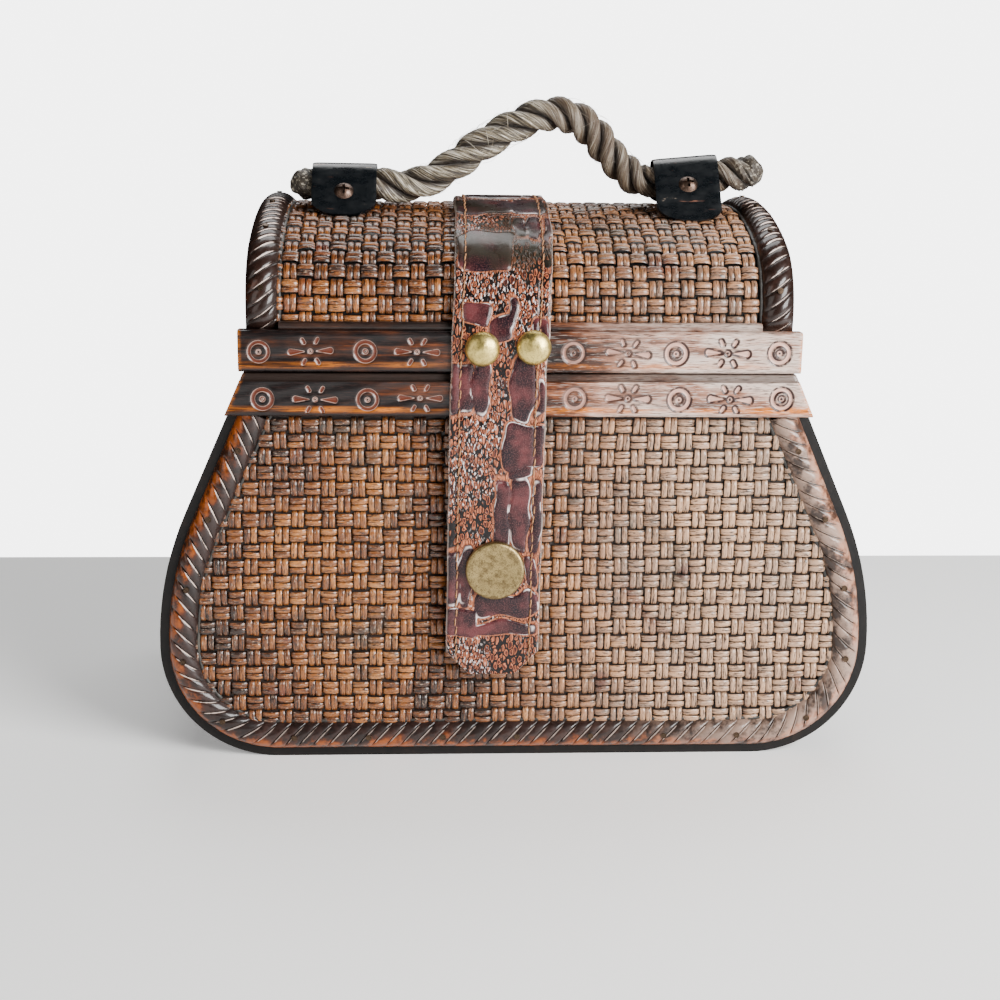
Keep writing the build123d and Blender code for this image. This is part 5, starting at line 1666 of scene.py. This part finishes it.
def area_light(name, place, size, power, tint):
    """A soft rectangular light that is aimed at the bag."""
    light = bpy.data.lights.new(name, "AREA")
    light.shape = "RECTANGLE"
    light.size, light.size_y = size
    light.energy = power
    light.color = tint
    lamp = bpy.data.objects.new(name, light)
    lamp.location = place
    aim = Vector(LIGHTS_AIM) - Vector(place)
    lamp.rotation_euler = aim.to_track_quat("-Z", "Y").to_euler()
    bpy.context.scene.collection.objects.link(lamp)


class BASKET_OT_stage(bpy.types.Operator):
    """Set the pale floor, the soft lights and the camera"""
    bl_idname = "basket.stage"
    bl_label = "Stage"

    def execute(self, context):
        sizes = context.scene.basket_bag.stage
        pale = Finish("pale floor", Roughness=0.6, Emission_Color=(1.0, 1.0, 1.0, 1.0),
                      Emission_Strength=0.26)
        mottle = pale.noise(pale.place(), 3.0, 3.0)
        shade = pale.mix(pale.span(mottle, 0.3, 0.7, 0.0, 0.06), sizes.floor, (0.88, 0.87, 0.86))
        pale.set(Base_Color=shade)
        shape = Shape()
        shape.add([(-FLOOR_REACH, -FLOOR_REACH, 0), (FLOOR_REACH, -FLOOR_REACH, 0),
                   (FLOOR_REACH, FLOOR_BACK, 0), (-FLOOR_REACH, FLOOR_BACK, 0)], [[0, 1, 2, 3]])
        shape.make("floor", pale.material)
        area_light("key", (0.70, -0.72, 0.50), (0.6, 0.6), sizes.key_power, (1.0, 0.99, 0.98))
        area_light("top", (0.1, 0.50, 1.05), (1.0, 0.6), sizes.top_power, (1.0, 1.0, 1.0))
        area_light("left fill", (-0.9, -0.8, 0.5), (0.8, 0.8), sizes.left_power, (1.0, 0.96, 0.92))
        world = bpy.data.worlds.new("soft studio")
        world.use_nodes = True
        nodes, links = world.node_tree.nodes, world.node_tree.links
        fill = nodes["Background"]
        fill.inputs["Strength"].default_value = FILL_STRENGTH
        wall = nodes.new("ShaderNodeBackground")
        wall.inputs["Strength"].default_value = WALL_STRENGTH
        seen = nodes.new("ShaderNodeLightPath")
        choice = nodes.new("ShaderNodeMixShader")
        links.new(seen.outputs["Is Camera Ray"], choice.inputs[0])
        links.new(fill.outputs[0], choice.inputs[1])
        links.new(wall.outputs[0], choice.inputs[2])
        links.new(choice.outputs[0], nodes["World Output"].inputs[0])
        context.scene.world = world
        lens = bpy.data.cameras.new("camera")
        lens.lens = sizes.focal
        lens.sensor_width = 36.0
        lens.clip_start = 0.01
        camera = bpy.data.objects.new("camera", lens)
        camera.location = CAMERA_PLACE
        forward = Vector((-math.sin(CAMERA_YAW) * math.cos(CAMERA_PITCH),
                          math.cos(CAMERA_YAW) * math.cos(CAMERA_PITCH), math.sin(CAMERA_PITCH)))
        aim = forward.to_track_quat("-Z", "Y").to_matrix()
        camera.rotation_euler = (aim @ Matrix.Rotation(CAMERA_ROLL, 3, "Z")).to_euler()
        context.scene.collection.objects.link(camera)
        context.scene.camera = camera
        return {"FINISHED"}


# ---- add-on ------------------------------------------------------------------------------

OPERATORS = (
    BASKET_OT_stage, BASKET_OT_rope, BASKET_OT_body_cane, BASKET_OT_lid_cane, BASKET_OT_mouldings,
    BASKET_OT_glue, BASKET_OT_rails, BASKET_OT_strap, BASKET_OT_studs, BASKET_OT_clamps,
    BASKET_OT_boards, BASKET_OT_lining,
)


class BASKET_PT_bag(bpy.types.Panel):
    """Lists the bag's pieces in the sidebar"""
    bl_idname = "BASKET_PT_bag"
    bl_label = "Basket Bag"
    bl_space_type = "VIEW_3D"
    bl_region_type = "UI"
    bl_category = "Basket Bag"

    def draw(self, context):
        for operator in OPERATORS:
            self.layout.operator(operator.bl_idname)


CLASSES = (
    CaneSettings, MouldingSettings, RailSettings, LeatherSettings, RopeSettings, MetalSettings,
    StageSettings, BagSettings, *OPERATORS, BASKET_PT_bag,
)


def register():
    for item in CLASSES:
        bpy.utils.register_class(item)
    bpy.types.Scene.basket_bag = PointerProperty(type=BagSettings)


def unregister():
    del bpy.types.Scene.basket_bag
    for item in reversed(CLASSES):
        bpy.utils.unregister_class(item)


def main():
    register()
    for operator in OPERATORS:
        group, name = operator.bl_idname.split(".")
        getattr(getattr(bpy.ops, group), name)()


if __name__ == "__main__":
    main()
